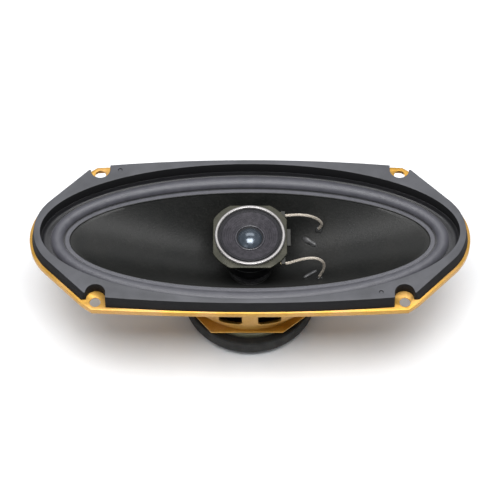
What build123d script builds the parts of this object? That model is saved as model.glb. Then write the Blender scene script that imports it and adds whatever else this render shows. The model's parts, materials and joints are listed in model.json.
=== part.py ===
"""Two-way coaxial car speaker, 4 x 10 inch class.

Origin: centre of the mounting flange's front face. +Z points at the listener,
+X runs along the long axis, and the magnet hangs below. All sizes are in mm.
"""
import os
from math import cos, radians, sin, tan

from build123d import *

os.makedirs("parts", exist_ok=True)

# ---- Driving dimensions -------------------------------------------------
# Mounting flange
flange_half_length = 131.0
flange_half_width = 52.8
side_bow = 2.6              # the long sides bow out this much between the ears
flange_end_radius = 32.4
ear_cut = (6.1, 4.4)        # the ear's blunt corner, along X and Y
sheet = 1.2                 # basket steel
lip_height = 4.2            # turned-down rim, flange face included
hole_radius = 3.2
hole_inset = (2.1, 5.2)     # screw hole to the ear's corner

# Gasket ring
gasket_height = 8.0
gasket_margin = (3.0, 2.3)  # flange edge to the gasket's top edge, ends and sides
gasket_face_width = (3.8, 3.0)
gasket_draft = 1.5          # the foot stands this much further out
notch_radius = 5.8
notch_inset = (0.4, 1.6)    # notch centre to screw hole, towards the middle
dimple_radius = 1.2
dimple_depth = 0.8
edge_round = 0.8

# Surround and cone
seat_depth = 3.2            # surround ledge below the flange face
surround_flat = (5.3, 2.5)  # gasket opening to the roll's foot, ends and sides
roll_half_width = 4.0
roll_height = 3.8
cone_flat = (3.3, 3.0)      # roll's foot to the cone's mouth
ledge_overhang = (0.6, 1.2)
skin = 0.6                  # surround and spider cloth
cone_depth = 29.8
cone_wall = 0.8
fit_gap = 0.3               # clearance round parts that drop into a seat
bead_centre = (36.0, 11.5)
bead_size = (10.0, 2.4)
bead_angle = 36.0
bead_height = 1.2

# Voice coil and spider
coil_radius = 13.0          # outside of the former, inside of the winding
former_wall = 0.3
former_tail = 3.5           # former below the winding
winding_build = 0.9
winding_length = 9.0
pole_gap = 0.5              # former to pole, and winding to top plate
felt_thickness = 2.0
felt_gap = 1.6
spider_radius = 30.0
spider_drop = 11.0          # cone neck to spider
spider_pitch = 4.2
spider_wave = 1.2
spider_collar = 2.0
spacer_width = 3.5
spacer_height = 5.5

# Motor
top_plate_margin = 3.1      # rivet circle to the plate's edge
top_plate_thickness = 5.0
magnet_radius = 41.0
magnet_clearance = 4.6      # winding gap to the magnet's bore
magnet_thickness = 11.0
back_plate_radius = 37.0
back_plate_thickness = 5.0
rivet_angle = 20.0
rivet_radius = 1.5
rivet_head = (2.2, 1.0)
post_screw_radius = 2.0
counterbore_depth = 3.0
counterbore_radius = 5.5
washer_thickness = 0.8
screw_grip = 12.0
screw_head = (3.8, 1.8)
screw_slot = (5.0, 1.0)

# Basket bowl
knee_inset = (6.3, 1.8)     # ledge to knee
knee_drop = 6.8
cup_mouth_margin = (18.0, 6.5)   # outside the spider's edge
cup_floor_margin = (7.0, 3.0)
cup_mouth_rise = 6.15       # above the spider
seat_edge = 3.0             # seat plate outside the cup
seat_chamfer = (20.0, 16.5)
seat_hole_margin = 9.6      # outside the winding gap
arm_half_width = 8.0
window_gap = (4.0, 11.2)    # cup mouth to window, window to knee
window_shoulder = (15.0, 24.0)
window_reach = 27.0
window_round = 3.0
side_window_size = (13.8, 22.0)
side_window_sill = 0.4      # below the cup mouth
rib_half_width = 4.8
slot_margin = 1.0

# Tweeter
ring_radius = 21.0
ring_width = 1.9
ring_height = 2.0
ring_round = 0.6
frame_margin = (1.0, 4.0)   # outside the ring, at the flats and at the corners
frame_thickness = 1.2
dish_inset = 1.9
dish_taper = 4.0
dish_depth = 6.0
dish_wall = 1.0
cone_clearance = 0.6        # diaphragm to the dish
surround_gap = 0.05
tweeter_neck = 6.6
tweeter_drop = 3.2
tweeter_wall = 0.4
tweeter_former_wall = 0.25
tweeter_winding = 0.4
tweeter_gap = 0.35
coil_overhang = 0.6
dome_height = 3.4
dome_foot = 0.6             # outside the neck
dome_seat = 0.05
housing_depth = 22.0
housing_floor = 1.4
housing_wall = 3.2
tweeter_plate_thickness = 3.0
tweeter_yoke_thickness = 2.0
tweeter_plate_step = 0.5
tweeter_bore_margin = 1.8
post_radius = 5.5
post_foot_radius = 9.0
post_foot_thickness = 2.0
strip_thickness = 1.0
strip_width = 2.4
strip_half_length = 18.6
strip_overhang = 2.1
strip_half_width = 5.8
lug_y = 17.0
lug_size = (2.6, 2.6)
lug_thickness = 0.4
lug_inset = 0.4
lead_diameter = 1.7

# Terminals
board_size = (18.0, 30.0)   # along the arm, across it
board_thickness = 1.6
board_place = 21.4          # from the arm's foot, along X
board_rivet_radius = 1.6
board_rivet_head = (2.6, 1.0)
rivet_spots = [(-5.0, 0.0), (5.0, 0.0)]
arm_drill = 5.0             # deeper than the arm's steel, measured from the board
tab_offset = 11.0
tab_foot = 7.0
tab_length = 9.0
tab_thickness = 0.8
tab_widths = {"positive": 6.3, "negative": 4.8}
lead_setback = 4.0

# ---- Places that follow from them ---------------------------------------
flank = cos(radians(45))                # the flanks lie at 45 degrees
end_centre = flange_half_length - flange_end_radius
ear_half_width = flange_half_width - side_bow
chamfer_y = ear_half_width - ear_cut[1]
chamfer_x = end_centre + 2 * flange_end_radius * flank - chamfer_y
ear_x = chamfer_x - ear_cut[0]
hole_x = ear_x - hole_inset[0]
hole_y = ear_half_width - hole_inset[1]

gasket_half_width = flange_half_width - gasket_margin[1]
gasket_end_radius = flange_end_radius - gasket_margin[0]
gasket_corner_x = ear_x + ear_cut[0] / 3
gasket_opening = (
    flange_half_length - gasket_margin[0] - gasket_face_width[0],
    gasket_half_width - gasket_face_width[1],
)
dimples = [(-hole_x + 12.3, hole_y - 1.8), (hole_x - 14.1, -hole_y + 2.0)]

roll_foot_outer = tuple(size - flat for size, flat in zip(gasket_opening, surround_flat))
roll_centre = tuple(size - roll_half_width for size in roll_foot_outer)
roll_foot_inner = tuple(size - roll_half_width for size in roll_centre)
cone_mouth = tuple(size - flat for size, flat in zip(roll_foot_inner, cone_flat))

ledge_z = -seat_depth
skin_z = ledge_z + skin                 # top of the surround's flat edges
neck_z = ledge_z - cone_depth
spider_z = neck_z - spider_drop
floor_z = spider_z - skin / 2 - spacer_height
seat_z = floor_z - sheet
magnet_top_z = seat_z - top_plate_thickness
back_plate_top_z = magnet_top_z - magnet_thickness
rear_z = back_plate_top_z - back_plate_thickness
pole_radius = coil_radius - former_wall - pole_gap
gap_bore = coil_radius + winding_build + pole_gap
pole_top_z = seat_z + fit_gap
rivet_circle = spider_radius + rivet_head[0] + sheet
top_plate_radius = rivet_circle + top_plate_margin
rivet_places = [
    (rivet_circle * cos(radians(turn)), rivet_circle * sin(radians(turn)))
    for turn in (rivet_angle, -rivet_angle, 180 - rivet_angle, 180 + rivet_angle)
]

frame_top_z = frame_thickness
dish_floor_z = frame_top_z - dish_depth
dish_radius = ring_radius - ring_width - dish_inset
dish_floor_radius = dish_radius - dish_taper
dish_lip = dish_radius + dish_wall
dish_slope = -dish_floor_z / (dish_lip - dish_floor_radius)
tweeter_edge = dish_radius - cone_clearance
tweeter_magnet_radius = dish_floor_radius + surround_gap * 4
housing_bore = tweeter_magnet_radius + fit_gap
housing_bottom_z = -housing_depth
yoke_bottom_z = housing_bottom_z + housing_floor
diaphragm_z = frame_top_z + tweeter_wall
dome_radius = tweeter_neck + dome_foot
lug_x = dish_lip + lug_inset


def export(part, name):
    """Label a finished piece and write its STEP file."""
    part.label = name
    export_step(part, f"parts/{name}.step")


# ---- Shared outlines and solids -----------------------------------------
def flange_face(inset):
    """Flange outline: bowed long sides, chamfered ears, straight flanks, round ends."""
    run = flange_end_radius * flank
    with BuildSketch() as face:
        with BuildLine():
            for side in (1, -1):
                ThreePointArc(
                    (-ear_x, side * ear_half_width),
                    (0, side * flange_half_width),
                    (ear_x, side * ear_half_width),
                )
                ThreePointArc(
                    (side * (end_centre + run), run),
                    (side * flange_half_length, 0),
                    (side * (end_centre + run), -run),
                )
                for end in (1, -1):
                    Polyline(
                        (end * ear_x, side * ear_half_width),
                        (end * chamfer_x, side * chamfer_y),
                        (end * (end_centre + run), side * run),
                    )
        make_face()
        if inset:
            offset(amount=-inset, kind=Kind.INTERSECTION)
    return face.sketch


def gasket_face(spread):
    """Gasket outline, spread outwards from its top-face size."""
    end_radius = gasket_end_radius + spread
    run = end_radius * flank
    corner_y = end_centre + 2 * run - gasket_corner_x
    half_width = gasket_half_width + spread
    with BuildSketch() as face:
        with BuildLine():
            for side in (1, -1):
                ThreePointArc(
                    (-gasket_corner_x, side * corner_y),
                    (0, side * half_width),
                    (gasket_corner_x, side * corner_y),
                )
                ThreePointArc(
                    (side * (end_centre + run), run),
                    (side * (end_centre + end_radius), 0),
                    (side * (end_centre + run), -run),
                )
                for end in (1, -1):
                    Line((end * gasket_corner_x, side * corner_y), (end * (end_centre + run), side * run))
        make_face()
    return face.sketch


def stacked_ellipses(sections):
    """A solid through level ellipses, each (half length, half width, height)."""
    with BuildPart() as stack:
        for half_length, half_width, height in sections:
            with BuildSketch(Plane.XY.offset(height)):
                Ellipse(half_length, half_width)
        loft(ruled=True)
    return stack.part


def quarter_round(centre, radius, height, base_z, sign):
    """Ellipses up one side of the roll, from its foot to its crest."""
    steps = [radians(angle) for angle in (0, 30, 60, 90)]
    return [
        (
            centre[0] + sign * radius * cos(step),
            centre[1] + sign * radius * cos(step),
            base_z + height * sin(step),
        )
        for step in steps
    ]


def tube_along(points, diameter):
    """A round lead through the points, each corner an arc as large as its runs allow."""
    stops = [Vector(*point) for point in points]
    radii = []
    for before, corner, after in zip(stops, stops[1:], stops[2:]):
        half_turn = radians((corner - before).get_angle(after - corner)) / 2
        shorter = min((corner - before).length, (after - corner).length)
        radii.append(0.45 * shorter / tan(half_turn))
    with BuildPart() as lead:
        with BuildLine() as route:
            FilletPolyline(*stops, radius=radii)
        path = route.wire()
        with BuildSketch(Plane(origin=path @ 0, z_dir=path % 0)):
            Circle(diameter / 2)
        sweep(path=path)
    print("lead", round(path.length, 1), "mm, radii", [round(radius, 1) for radius in radii])
    return lead.part


# ---- Basket ---------------------------------------------------------------
# Inside of the bowl, as ellipses: ledge, knee, cup mouth, cup floor.
ledge_inner = tuple(size - over for size, over in zip(roll_foot_outer, ledge_overhang))
knee = tuple(size - inset for size, inset in zip(ledge_inner, knee_inset))
cup_mouth = tuple(spider_radius + margin for margin in cup_mouth_margin)
cup_floor = tuple(spider_radius + margin for margin in cup_floor_margin)
cup_mouth_z = spider_z + cup_mouth_rise
bowl_inside = [
    (*ledge_inner, ledge_z),
    (*knee, ledge_z - knee_drop),
    (*cup_mouth, cup_mouth_z),
    (*cup_floor, floor_z),
]
shift = (0.5 * sheet, 1.15 * sheet, 0.9 * sheet)   # moves a section to the outside face
bowl_outside = [
    (length + shift[0], width + shift[1], height - shift[2]) for length, width, height in bowl_inside
]
recess = tuple(size + fit_gap for size in gasket_opening)
side_window_x = rib_half_width + side_window_size[0] / 2
side_window_z = cup_mouth_z - side_window_sill + side_window_size[1] / 2
basket_shell = stacked_ellipses(bowl_outside)
basket_hollow = stacked_ellipses(bowl_inside)

# Plane of the terminal board, on the outer face of the +X arm.
arm_top = Vector(bowl_outside[1][0], 0, bowl_outside[1][2])
arm_foot = Vector(bowl_outside[2][0], 0, bowl_outside[2][2])
arm_direction = (arm_top - arm_foot).normalized()
arm_outward = Vector(arm_direction.Z, 0, -arm_direction.X)
board_centre = arm_foot + arm_direction * (board_place / arm_direction.X)
board_plane = Plane(origin=board_centre, x_dir=arm_direction, z_dir=arm_outward)


def end_window():
    """One opening beside an end arm, seen from above, in the +X +Y quarter."""
    with BuildSketch() as face:
        with BuildLine():
            root = cup_mouth[0] + window_gap[0]
            tip = knee[0] - window_gap[1]
            Polyline(
                (root, arm_half_width),
                (tip, arm_half_width),
                (tip - window_shoulder[0], window_shoulder[1]),
                (root, window_reach),
                close=True,
            )
        make_face()
        fillet(face.vertices(), window_round)
    return face.sketch


window_quarter = end_window()

with BuildPart() as basket:
    with BuildSketch(Plane.XY.offset(-sheet)):
        add(flange_face(0))
    extrude(amount=sheet)
    with BuildSketch(Plane.XY.offset(-lip_height)):
        add(flange_face(0))
        add(flange_face(sheet), mode=Mode.SUBTRACT)
    extrude(amount=lip_height - sheet)
    with BuildSketch(Plane.XY.offset(ledge_z - sheet)):
        Ellipse(recess[0] + sheet, recess[1] + sheet)
    extrude(amount=seat_depth)
    with BuildSketch(Plane.XY.offset(ledge_z)):
        Ellipse(*recess)
    extrude(amount=seat_depth, mode=Mode.SUBTRACT)
    add(basket_shell)
    with BuildSketch(Plane.XY.offset(seat_z)) as seat:
        Rectangle(*(2 * (size + seat_edge) for size in cup_floor))
        chamfer(seat.vertices(), length=seat_chamfer[0], length2=seat_chamfer[1])
    extrude(amount=sheet)
    add(basket_hollow, mode=Mode.SUBTRACT)
    with BuildSketch(Plane.XY.offset(seat_z)):
        Circle(gap_bore + seat_hole_margin)
        with Locations(*rivet_places):
            Circle(rivet_radius)
    extrude(amount=sheet, mode=Mode.SUBTRACT)
    with BuildSketch(Plane.XY.offset(-sheet)):
        with GridLocations(2 * hole_x, 2 * hole_y, 2, 2):
            Circle(hole_radius)
    extrude(amount=sheet, mode=Mode.SUBTRACT)
    with BuildSketch(Plane.XY.offset(cup_mouth_z - slot_margin)):
        add(window_quarter)
        mirror(about=Plane.YZ)
        mirror(about=Plane.XZ)
    extrude(amount=ledge_z - sheet - cup_mouth_z + slot_margin, mode=Mode.SUBTRACT)
    with BuildSketch(Plane.XZ):
        for end in (1, -1):
            with Locations((end * side_window_x, side_window_z)):
                RectangleRounded(*side_window_size, window_round)
    extrude(amount=flange_half_width, both=True, mode=Mode.SUBTRACT)
    with BuildSketch(board_plane):
        with Locations(*rivet_spots):
            Circle(board_rivet_radius)
    extrude(amount=-arm_drill, mode=Mode.SUBTRACT)
export(basket.part, "basket")

# ---- Gasket ring ------------------------------------------------------------
with BuildPart() as mounting_gasket:
    with BuildSketch():
        add(gasket_face(gasket_draft))
    with BuildSketch(Plane.XY.offset(gasket_height)):
        add(gasket_face(0))
    loft(ruled=True)
    with BuildSketch() as opening:
        Ellipse(*gasket_opening)
    extrude(amount=gasket_height, mode=Mode.SUBTRACT)
    with BuildSketch() as notches:
        for across in (1, -1):
            for along in (1, -1):
                with Locations((along * (hole_x - notch_inset[0]), across * (hole_y - notch_inset[1]))):
                    Circle(notch_radius)
                    with Locations((along * notch_radius / 2, across * notch_radius)):
                        Rectangle(3 * notch_radius, 2 * notch_radius)
    extrude(amount=gasket_height, mode=Mode.SUBTRACT)
    with BuildSketch(Plane.XY.offset(gasket_height)):
        with Locations(*dimples):
            Circle(dimple_radius)
    extrude(amount=-dimple_depth, mode=Mode.SUBTRACT)
export(mounting_gasket.part, "mounting_gasket")

# ---- Surround: half roll of cloth between the ledge and the cone -----------------
roll_dome = stacked_ellipses(
    [(*roll_foot_outer, ledge_z)] + quarter_round(roll_centre, roll_half_width, roll_height, skin_z, 1)
)
roll_bowl = stacked_ellipses(
    [(*roll_foot_inner, ledge_z)] + quarter_round(roll_centre, roll_half_width, roll_height, skin_z, -1)
)
hollow_dome = stacked_ellipses(
    quarter_round(roll_centre, roll_half_width - skin, roll_height, ledge_z, 1)
)
hollow_bowl = stacked_ellipses(
    quarter_round(roll_centre, roll_half_width - skin, roll_height, ledge_z, -1)
)
with BuildPart() as roll_space:
    add(hollow_dome)
    add(hollow_bowl, mode=Mode.SUBTRACT)

with BuildPart() as surround:
    add(roll_dome)
    add(roll_bowl, mode=Mode.SUBTRACT)
    add(roll_space.part, mode=Mode.SUBTRACT)
    with BuildSketch(Plane.XY.offset(ledge_z)):
        Ellipse(gasket_opening[0] - fit_gap, gasket_opening[1] - fit_gap)
        Ellipse(*roll_foot_outer, mode=Mode.SUBTRACT)
    extrude(amount=skin)
    with BuildSketch(Plane.XY.offset(ledge_z)):
        Ellipse(*roll_foot_inner)
        Ellipse(*cone_mouth, mode=Mode.SUBTRACT)
    extrude(amount=skin)
export(surround.part, "surround")

# ---- Cone ------------------------------------------------------------------------
cone_space = stacked_ellipses([(coil_radius, coil_radius, neck_z), (*cone_mouth, ledge_z)])
slope_shift = 0.6 * cone_wall
with BuildPart() as cone:
    add(
        stacked_ellipses(
            [
                (coil_radius + cone_wall, coil_radius + cone_wall, neck_z - slope_shift),
                (cone_mouth[0] + cone_wall, cone_mouth[1] + cone_wall, ledge_z - slope_shift),
            ]
        )
    )
    with BuildSketch(Plane.XY.offset(ledge_z - cone_wall)):
        Ellipse(*roll_foot_inner)
    extrude(amount=cone_wall)
    add(cone_space, mode=Mode.SUBTRACT)
    with BuildSketch(Plane.XY.offset(neck_z)):
        Circle(coil_radius)
    extrude(amount=-2 * cone_wall, mode=Mode.SUBTRACT)
export(cone.part, "cone")

for name, across in (("rear", 1), ("front", -1)):
    with BuildPart() as glue_bead:
        with BuildSketch(Plane.XY.offset(neck_z)):
            with Locations((bead_centre[0], across * bead_centre[1])):
                SlotOverall(*bead_size, rotation=-across * bead_angle)
        extrude(amount=cone_depth)
        add(cone_space, mode=Mode.INTERSECT)
        add(cone_space.moved(Location((0, 0, bead_height))), mode=Mode.SUBTRACT)
    export(glue_bead.part, f"glue_bead_{name}")

# ---- Voice coil, spider and dust ring -------------------------------------------
winding_z = seat_z - top_plate_thickness / 2 - winding_length / 2
former_foot_z = winding_z - former_tail
with BuildPart() as voice_coil_former:
    with BuildSketch(Plane.XY.offset(former_foot_z)):
        Circle(coil_radius)
        Circle(coil_radius - former_wall, mode=Mode.SUBTRACT)
    extrude(amount=neck_z - former_foot_z)
export(voice_coil_former.part, "voice_coil_former")

with BuildPart() as voice_coil_winding:
    with BuildSketch(Plane.XY.offset(winding_z)):
        Circle(coil_radius + winding_build)
        Circle(coil_radius, mode=Mode.SUBTRACT)
    extrude(amount=winding_length)
export(voice_coil_winding.part, "voice_coil_winding")

with BuildPart() as dust_felt_ring:
    with BuildSketch(Plane.XY.offset(neck_z - felt_thickness)):
        Circle(coil_radius - former_wall)
        Circle(post_radius + felt_gap, mode=Mode.SUBTRACT)
    extrude(amount=felt_thickness)
export(dust_felt_ring.part, "dust_felt_ring")

wave_start = coil_radius + spider_collar
wave_count = int((spider_radius - spacer_width - wave_start) / (spider_pitch / 2))
crests = [(coil_radius, spider_z), (wave_start, spider_z)]
for step in range(1, wave_count):
    crests.append((wave_start + step * spider_pitch / 2, spider_z + spider_wave * (-1) ** step))
crests += [(spider_radius - spacer_width, spider_z), (spider_radius, spider_z)]
with BuildPart() as spider:
    with BuildSketch(Plane.XZ):
        with BuildLine():
            upper = [(radius, height + skin / 2) for radius, height in crests]
            lower = [(radius, height - skin / 2) for radius, height in reversed(crests)]
            Polyline(*upper, *lower, close=True)
        make_face()
    revolve(axis=Axis.Z)
export(spider.part, "spider")

with BuildPart() as spider_spacer_ring:
    with BuildSketch(Plane.XY.offset(floor_z)):
        Circle(spider_radius)
        Circle(spider_radius - spacer_width, mode=Mode.SUBTRACT)
    extrude(amount=spider_z - skin / 2 - floor_z)
export(spider_spacer_ring.part, "spider_spacer_ring")

# ---- Motor -------------------------------------------------------------------------
with BuildPart() as top_plate:
    with BuildSketch(Plane.XY.offset(magnet_top_z)):
        Circle(top_plate_radius)
        Circle(gap_bore, mode=Mode.SUBTRACT)
        with Locations(*rivet_places):
            Circle(rivet_radius, mode=Mode.SUBTRACT)
    extrude(amount=top_plate_thickness)
export(top_plate.part, "top_plate")

for number, place in enumerate(rivet_places, start=1):
    with BuildPart() as seat_rivet:
        with BuildSketch(Plane.XY.offset(magnet_top_z)):
            with Locations(place):
                Circle(rivet_radius)
        extrude(amount=top_plate_thickness + sheet)
        with BuildSketch(Plane.XY.offset(floor_z)):
            with Locations(place):
                Circle(rivet_head[0])
        extrude(amount=rivet_head[1])
        fillet(seat_rivet.edges().group_by(Axis.Z)[-1], rivet_head[1] / 2)
    export(seat_rivet.part, f"seat_rivet_{number}")

with BuildPart() as magnet:
    with BuildSketch(Plane.XY.offset(back_plate_top_z)):
        Circle(magnet_radius)
        Circle(gap_bore + magnet_clearance, mode=Mode.SUBTRACT)
    extrude(amount=magnet_thickness)
    chamfer(magnet.edges().filter_by(GeomType.CIRCLE).group_by(SortBy.RADIUS)[-1], edge_round)
export(magnet.part, "magnet")

counterbore_z = rear_z + counterbore_depth
with BuildPart() as back_plate:
    with BuildSketch(Plane.XY.offset(rear_z)):
        Circle(back_plate_radius)
    extrude(amount=back_plate_thickness)
    chamfer(back_plate.edges().group_by(Axis.Z)[0], edge_round)
    with BuildSketch(Plane.XY.offset(back_plate_top_z)):
        Circle(pole_radius)
    extrude(amount=pole_top_z - back_plate_top_z)
    chamfer(back_plate.edges().group_by(Axis.Z)[-1], edge_round)
    with BuildSketch(Plane.XY.offset(rear_z)):
        Circle(counterbore_radius)
    extrude(amount=counterbore_depth, mode=Mode.SUBTRACT)
    with BuildSketch(Plane.XY.offset(rear_z)):
        Circle(post_screw_radius)
    extrude(amount=pole_top_z - rear_z, mode=Mode.SUBTRACT)
export(back_plate.part, "back_plate")

# ---- Tweeter post and its screw --------------------------------------------------------
with BuildPart() as tweeter_post:
    with BuildSketch(Plane.XY.offset(pole_top_z)):
        Circle(post_foot_radius)
    extrude(amount=post_foot_thickness)
    with BuildSketch(Plane.XY.offset(pole_top_z)):
        Circle(post_radius)
    extrude(amount=housing_bottom_z - pole_top_z)
    with BuildSketch(Plane.XY.offset(pole_top_z)):
        Circle(post_screw_radius)
    extrude(amount=screw_grip, mode=Mode.SUBTRACT)
export(tweeter_post.part, "tweeter_post")

with BuildPart() as post_washer:
    with BuildSketch(Plane.XY.offset(counterbore_z - washer_thickness)):
        Circle(counterbore_radius - fit_gap)
        Circle(post_screw_radius, mode=Mode.SUBTRACT)
    extrude(amount=washer_thickness)
export(post_washer.part, "post_washer")

with BuildPart() as post_screw:
    with BuildSketch(Plane.XY.offset(counterbore_z - washer_thickness)):
        Circle(post_screw_radius)
    extrude(amount=pole_top_z + screw_grip - counterbore_z + washer_thickness)
    with BuildSketch(Plane.XY.offset(counterbore_z - washer_thickness)):
        Circle(screw_head[0])
    extrude(amount=-screw_head[1])
    with BuildSketch(Plane.XY.offset(counterbore_z - washer_thickness - screw_head[1])):
        for turn in (0, 90):
            Rectangle(*screw_slot, rotation=turn)
    extrude(amount=screw_slot[1], mode=Mode.SUBTRACT)
export(post_screw.part, "post_screw")


# ---- Tweeter -----------------------------------------------------------------------------
def turned(profile):
    """A solid of revolution about Z from (radius, height) corners."""
    with BuildPart() as turning:
        with BuildSketch(Plane.XZ):
            with BuildLine():
                Polyline(*profile, close=True)
            make_face()
        revolve(axis=Axis.Z)
    return turning.part


export(
    turned(
        [
            (0, housing_bottom_z),
            (tweeter_magnet_radius + housing_wall, housing_bottom_z),
            (tweeter_edge, dish_floor_z + (tweeter_edge - dish_floor_radius) * dish_slope - fit_gap),
            (housing_bore, dish_floor_z + (housing_bore - dish_floor_radius) * dish_slope - fit_gap),
            (housing_bore, yoke_bottom_z),
            (0, yoke_bottom_z),
        ]
    ),
    "tweeter_housing",
)

tweeter_plate_z = dish_floor_z - tweeter_plate_thickness
tweeter_magnet_z = yoke_bottom_z + tweeter_yoke_thickness
tweeter_pole_radius = tweeter_neck - tweeter_former_wall - tweeter_gap
tweeter_bore = tweeter_neck + tweeter_winding + tweeter_gap
tweeter_plate_radius = tweeter_magnet_radius - tweeter_plate_step

with BuildPart() as tweeter_yoke:
    with BuildSketch(Plane.XY.offset(yoke_bottom_z)):
        Circle(tweeter_plate_radius)
    extrude(amount=tweeter_yoke_thickness)
    with BuildSketch(Plane.XY.offset(tweeter_magnet_z)):
        Circle(tweeter_pole_radius)
    extrude(amount=dish_floor_z - tweeter_magnet_z)
export(tweeter_yoke.part, "tweeter_yoke")

with BuildPart() as tweeter_magnet:
    with BuildSketch(Plane.XY.offset(tweeter_magnet_z)):
        Circle(tweeter_magnet_radius)
        Circle(tweeter_neck + tweeter_bore_margin, mode=Mode.SUBTRACT)
    extrude(amount=tweeter_plate_z - tweeter_magnet_z)
export(tweeter_magnet.part, "tweeter_magnet")

with BuildPart() as tweeter_top_plate:
    with BuildSketch(Plane.XY.offset(tweeter_plate_z)):
        Circle(tweeter_plate_radius)
        Circle(tweeter_bore, mode=Mode.SUBTRACT)
    extrude(amount=tweeter_plate_thickness)
export(tweeter_top_plate.part, "tweeter_top_plate")

dish = turned(
    [
        (tweeter_bore, dish_floor_z),
        (dish_floor_radius, dish_floor_z),
        (dish_lip, 0),
        (dish_lip, frame_top_z),
        (dish_radius, frame_top_z),
        (dish_floor_radius - dish_wall, dish_floor_z + dish_wall),
        (tweeter_bore, dish_floor_z + dish_wall),
    ]
)
with BuildPart() as tweeter_frame:
    with BuildSketch():
        Circle(ring_radius + frame_margin[1])
        Rectangle(*[2 * (ring_radius + frame_margin[0])] * 2, mode=Mode.INTERSECT)
        Circle(dish_lip, mode=Mode.SUBTRACT)
    extrude(amount=frame_thickness)
    add(dish)
export(tweeter_frame.part, "tweeter_frame")

with BuildPart() as tweeter_trim_ring:
    with BuildSketch(Plane.XY.offset(frame_top_z)):
        Circle(ring_radius)
        Circle(ring_radius - ring_width, mode=Mode.SUBTRACT)
    extrude(amount=ring_height)
    fillet(tweeter_trim_ring.edges().group_by(Axis.Z)[-1], ring_round)
export(tweeter_trim_ring.part, "tweeter_trim_ring")

edge_z = diaphragm_z
tweeter_neck_z = edge_z - tweeter_drop
export(
    turned(
        [
            (tweeter_neck, tweeter_neck_z),
            (tweeter_edge, edge_z),
            (tweeter_edge, edge_z + tweeter_wall),
            (tweeter_neck, tweeter_neck_z + tweeter_wall),
        ]
    ),
    "tweeter_cone",
)

surround_outer = ring_radius - ring_width - surround_gap
export(
    turned(
        [
            (tweeter_edge + surround_gap, edge_z),
            (tweeter_edge + surround_gap, edge_z + tweeter_wall),
            (tweeter_edge + 3 * tweeter_wall, edge_z + 2 * tweeter_wall),
            (dish_lip, frame_top_z + tweeter_wall),
            (surround_outer, frame_top_z + tweeter_wall),
            (surround_outer, frame_top_z),
            (dish_radius + surround_gap, frame_top_z),
            (tweeter_edge + 2 * tweeter_wall, edge_z + tweeter_wall / 2),
        ]
    ),
    "tweeter_surround",
)

dome_rim_z = tweeter_neck_z + tweeter_wall + (dome_radius - tweeter_neck) * tweeter_drop / (
    tweeter_edge - tweeter_neck
)
dome_curve = (dome_radius**2 + dome_height**2) / (2 * dome_height)
dome_centre_z = dome_rim_z + dome_seat + dome_height - dome_curve
with BuildPart() as tweeter_dome:
    with Locations((0, 0, dome_centre_z)):
        Sphere(dome_curve)
        Sphere(dome_curve - tweeter_wall, mode=Mode.SUBTRACT)
    split(bisect_by=Plane.XY.offset(dome_rim_z + dome_seat), keep=Keep.TOP)
export(tweeter_dome.part, "tweeter_dome")

coil_bottom_z = tweeter_plate_z - coil_overhang
export(
    turned(
        [
            (tweeter_neck - tweeter_former_wall, coil_bottom_z),
            (tweeter_neck + tweeter_winding, coil_bottom_z),
            (tweeter_neck + tweeter_winding, dish_floor_z),
            (tweeter_neck, dish_floor_z),
            (tweeter_neck, tweeter_neck_z + tweeter_wall),
            (tweeter_neck - tweeter_former_wall, tweeter_neck_z + tweeter_wall),
        ]
    ),
    "tweeter_coil",
)

# ---- Tweeter terminal strip, lugs and leads ----------------------------------------------
strip_reach = ring_radius + frame_margin[0] + strip_overhang
with BuildPart() as tweeter_terminal_strip:
    with BuildSketch(Plane.XY.offset(-strip_thickness)):
        with Locations((dish_lip + fit_gap + strip_width / 2, 0)):
            Rectangle(strip_width, 2 * strip_half_length)
        with Locations(((dish_lip + fit_gap + strip_reach) / 2, 0)):
            Rectangle(strip_reach - dish_lip - fit_gap, 2 * strip_half_width)
    extrude(amount=strip_thickness)
export(tweeter_terminal_strip.part, "tweeter_terminal_strip")

lead_z = -strip_thickness - lug_thickness - lead_diameter / 2 - surround_gap
lead_routes = {
    "rear": [
        (lug_x, lug_y, lead_z), (22.2, 17.0, lead_z), (28.6, 17.0, -1.2), (35.7, 17.0, -2.4),
        (40.4, 17.0, -5.7), (43.4, 17.0, -10.2), (43.0, 17.0, -14.0), (41.6, 17.0, -16.9),
    ],
    "front": [
        (lug_x, -lug_y, lead_z), (22.4, -17.0, lead_z), (26.8, -17.0, 0.5), (32.2, -17.0, 3.2),
        (38.2, -17.0, 4.1), (42.6, -17.0, 1.0), (44.2, -17.0, -4.4), (43.4, -17.0, -10.6),
        (41.4, -17.0, -16.9),
    ],
}
for name, across in (("rear", 1), ("front", -1)):
    with BuildPart() as tweeter_lug:
        with BuildSketch(Plane.XY.offset(-strip_thickness - lug_thickness)):
            with Locations((lug_x + lug_size[0] / 4, across * lug_y)):
                Rectangle(*lug_size)
        extrude(amount=lug_thickness)
    export(tweeter_lug.part, f"tweeter_lug_{name}")
    export(tube_along(lead_routes[name], lead_diameter), f"tweeter_lead_{name}")

# ---- Terminal board on the +X arm -------------------------------------------------------------
with BuildPart() as terminal_board:
    with BuildSketch(board_plane) as board_outline:
        Rectangle(*board_size)
        fillet(board_outline.vertices(), board_thickness)
        with Locations(*rivet_spots):
            Circle(board_rivet_radius, mode=Mode.SUBTRACT)
    extrude(amount=board_thickness)
export(terminal_board.part, "terminal_board")

for number, spot in enumerate(rivet_spots, start=1):
    with BuildPart() as terminal_rivet:
        with BuildSketch(board_plane.offset(-sheet)):
            with Locations(spot):
                Circle(board_rivet_radius)
        extrude(amount=sheet + board_thickness)
        with BuildSketch(board_plane.offset(board_thickness)):
            with Locations(spot):
                Circle(board_rivet_head[0])
        extrude(amount=board_rivet_head[1])
    export(terminal_rivet.part, f"terminal_rivet_{number}")

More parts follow.
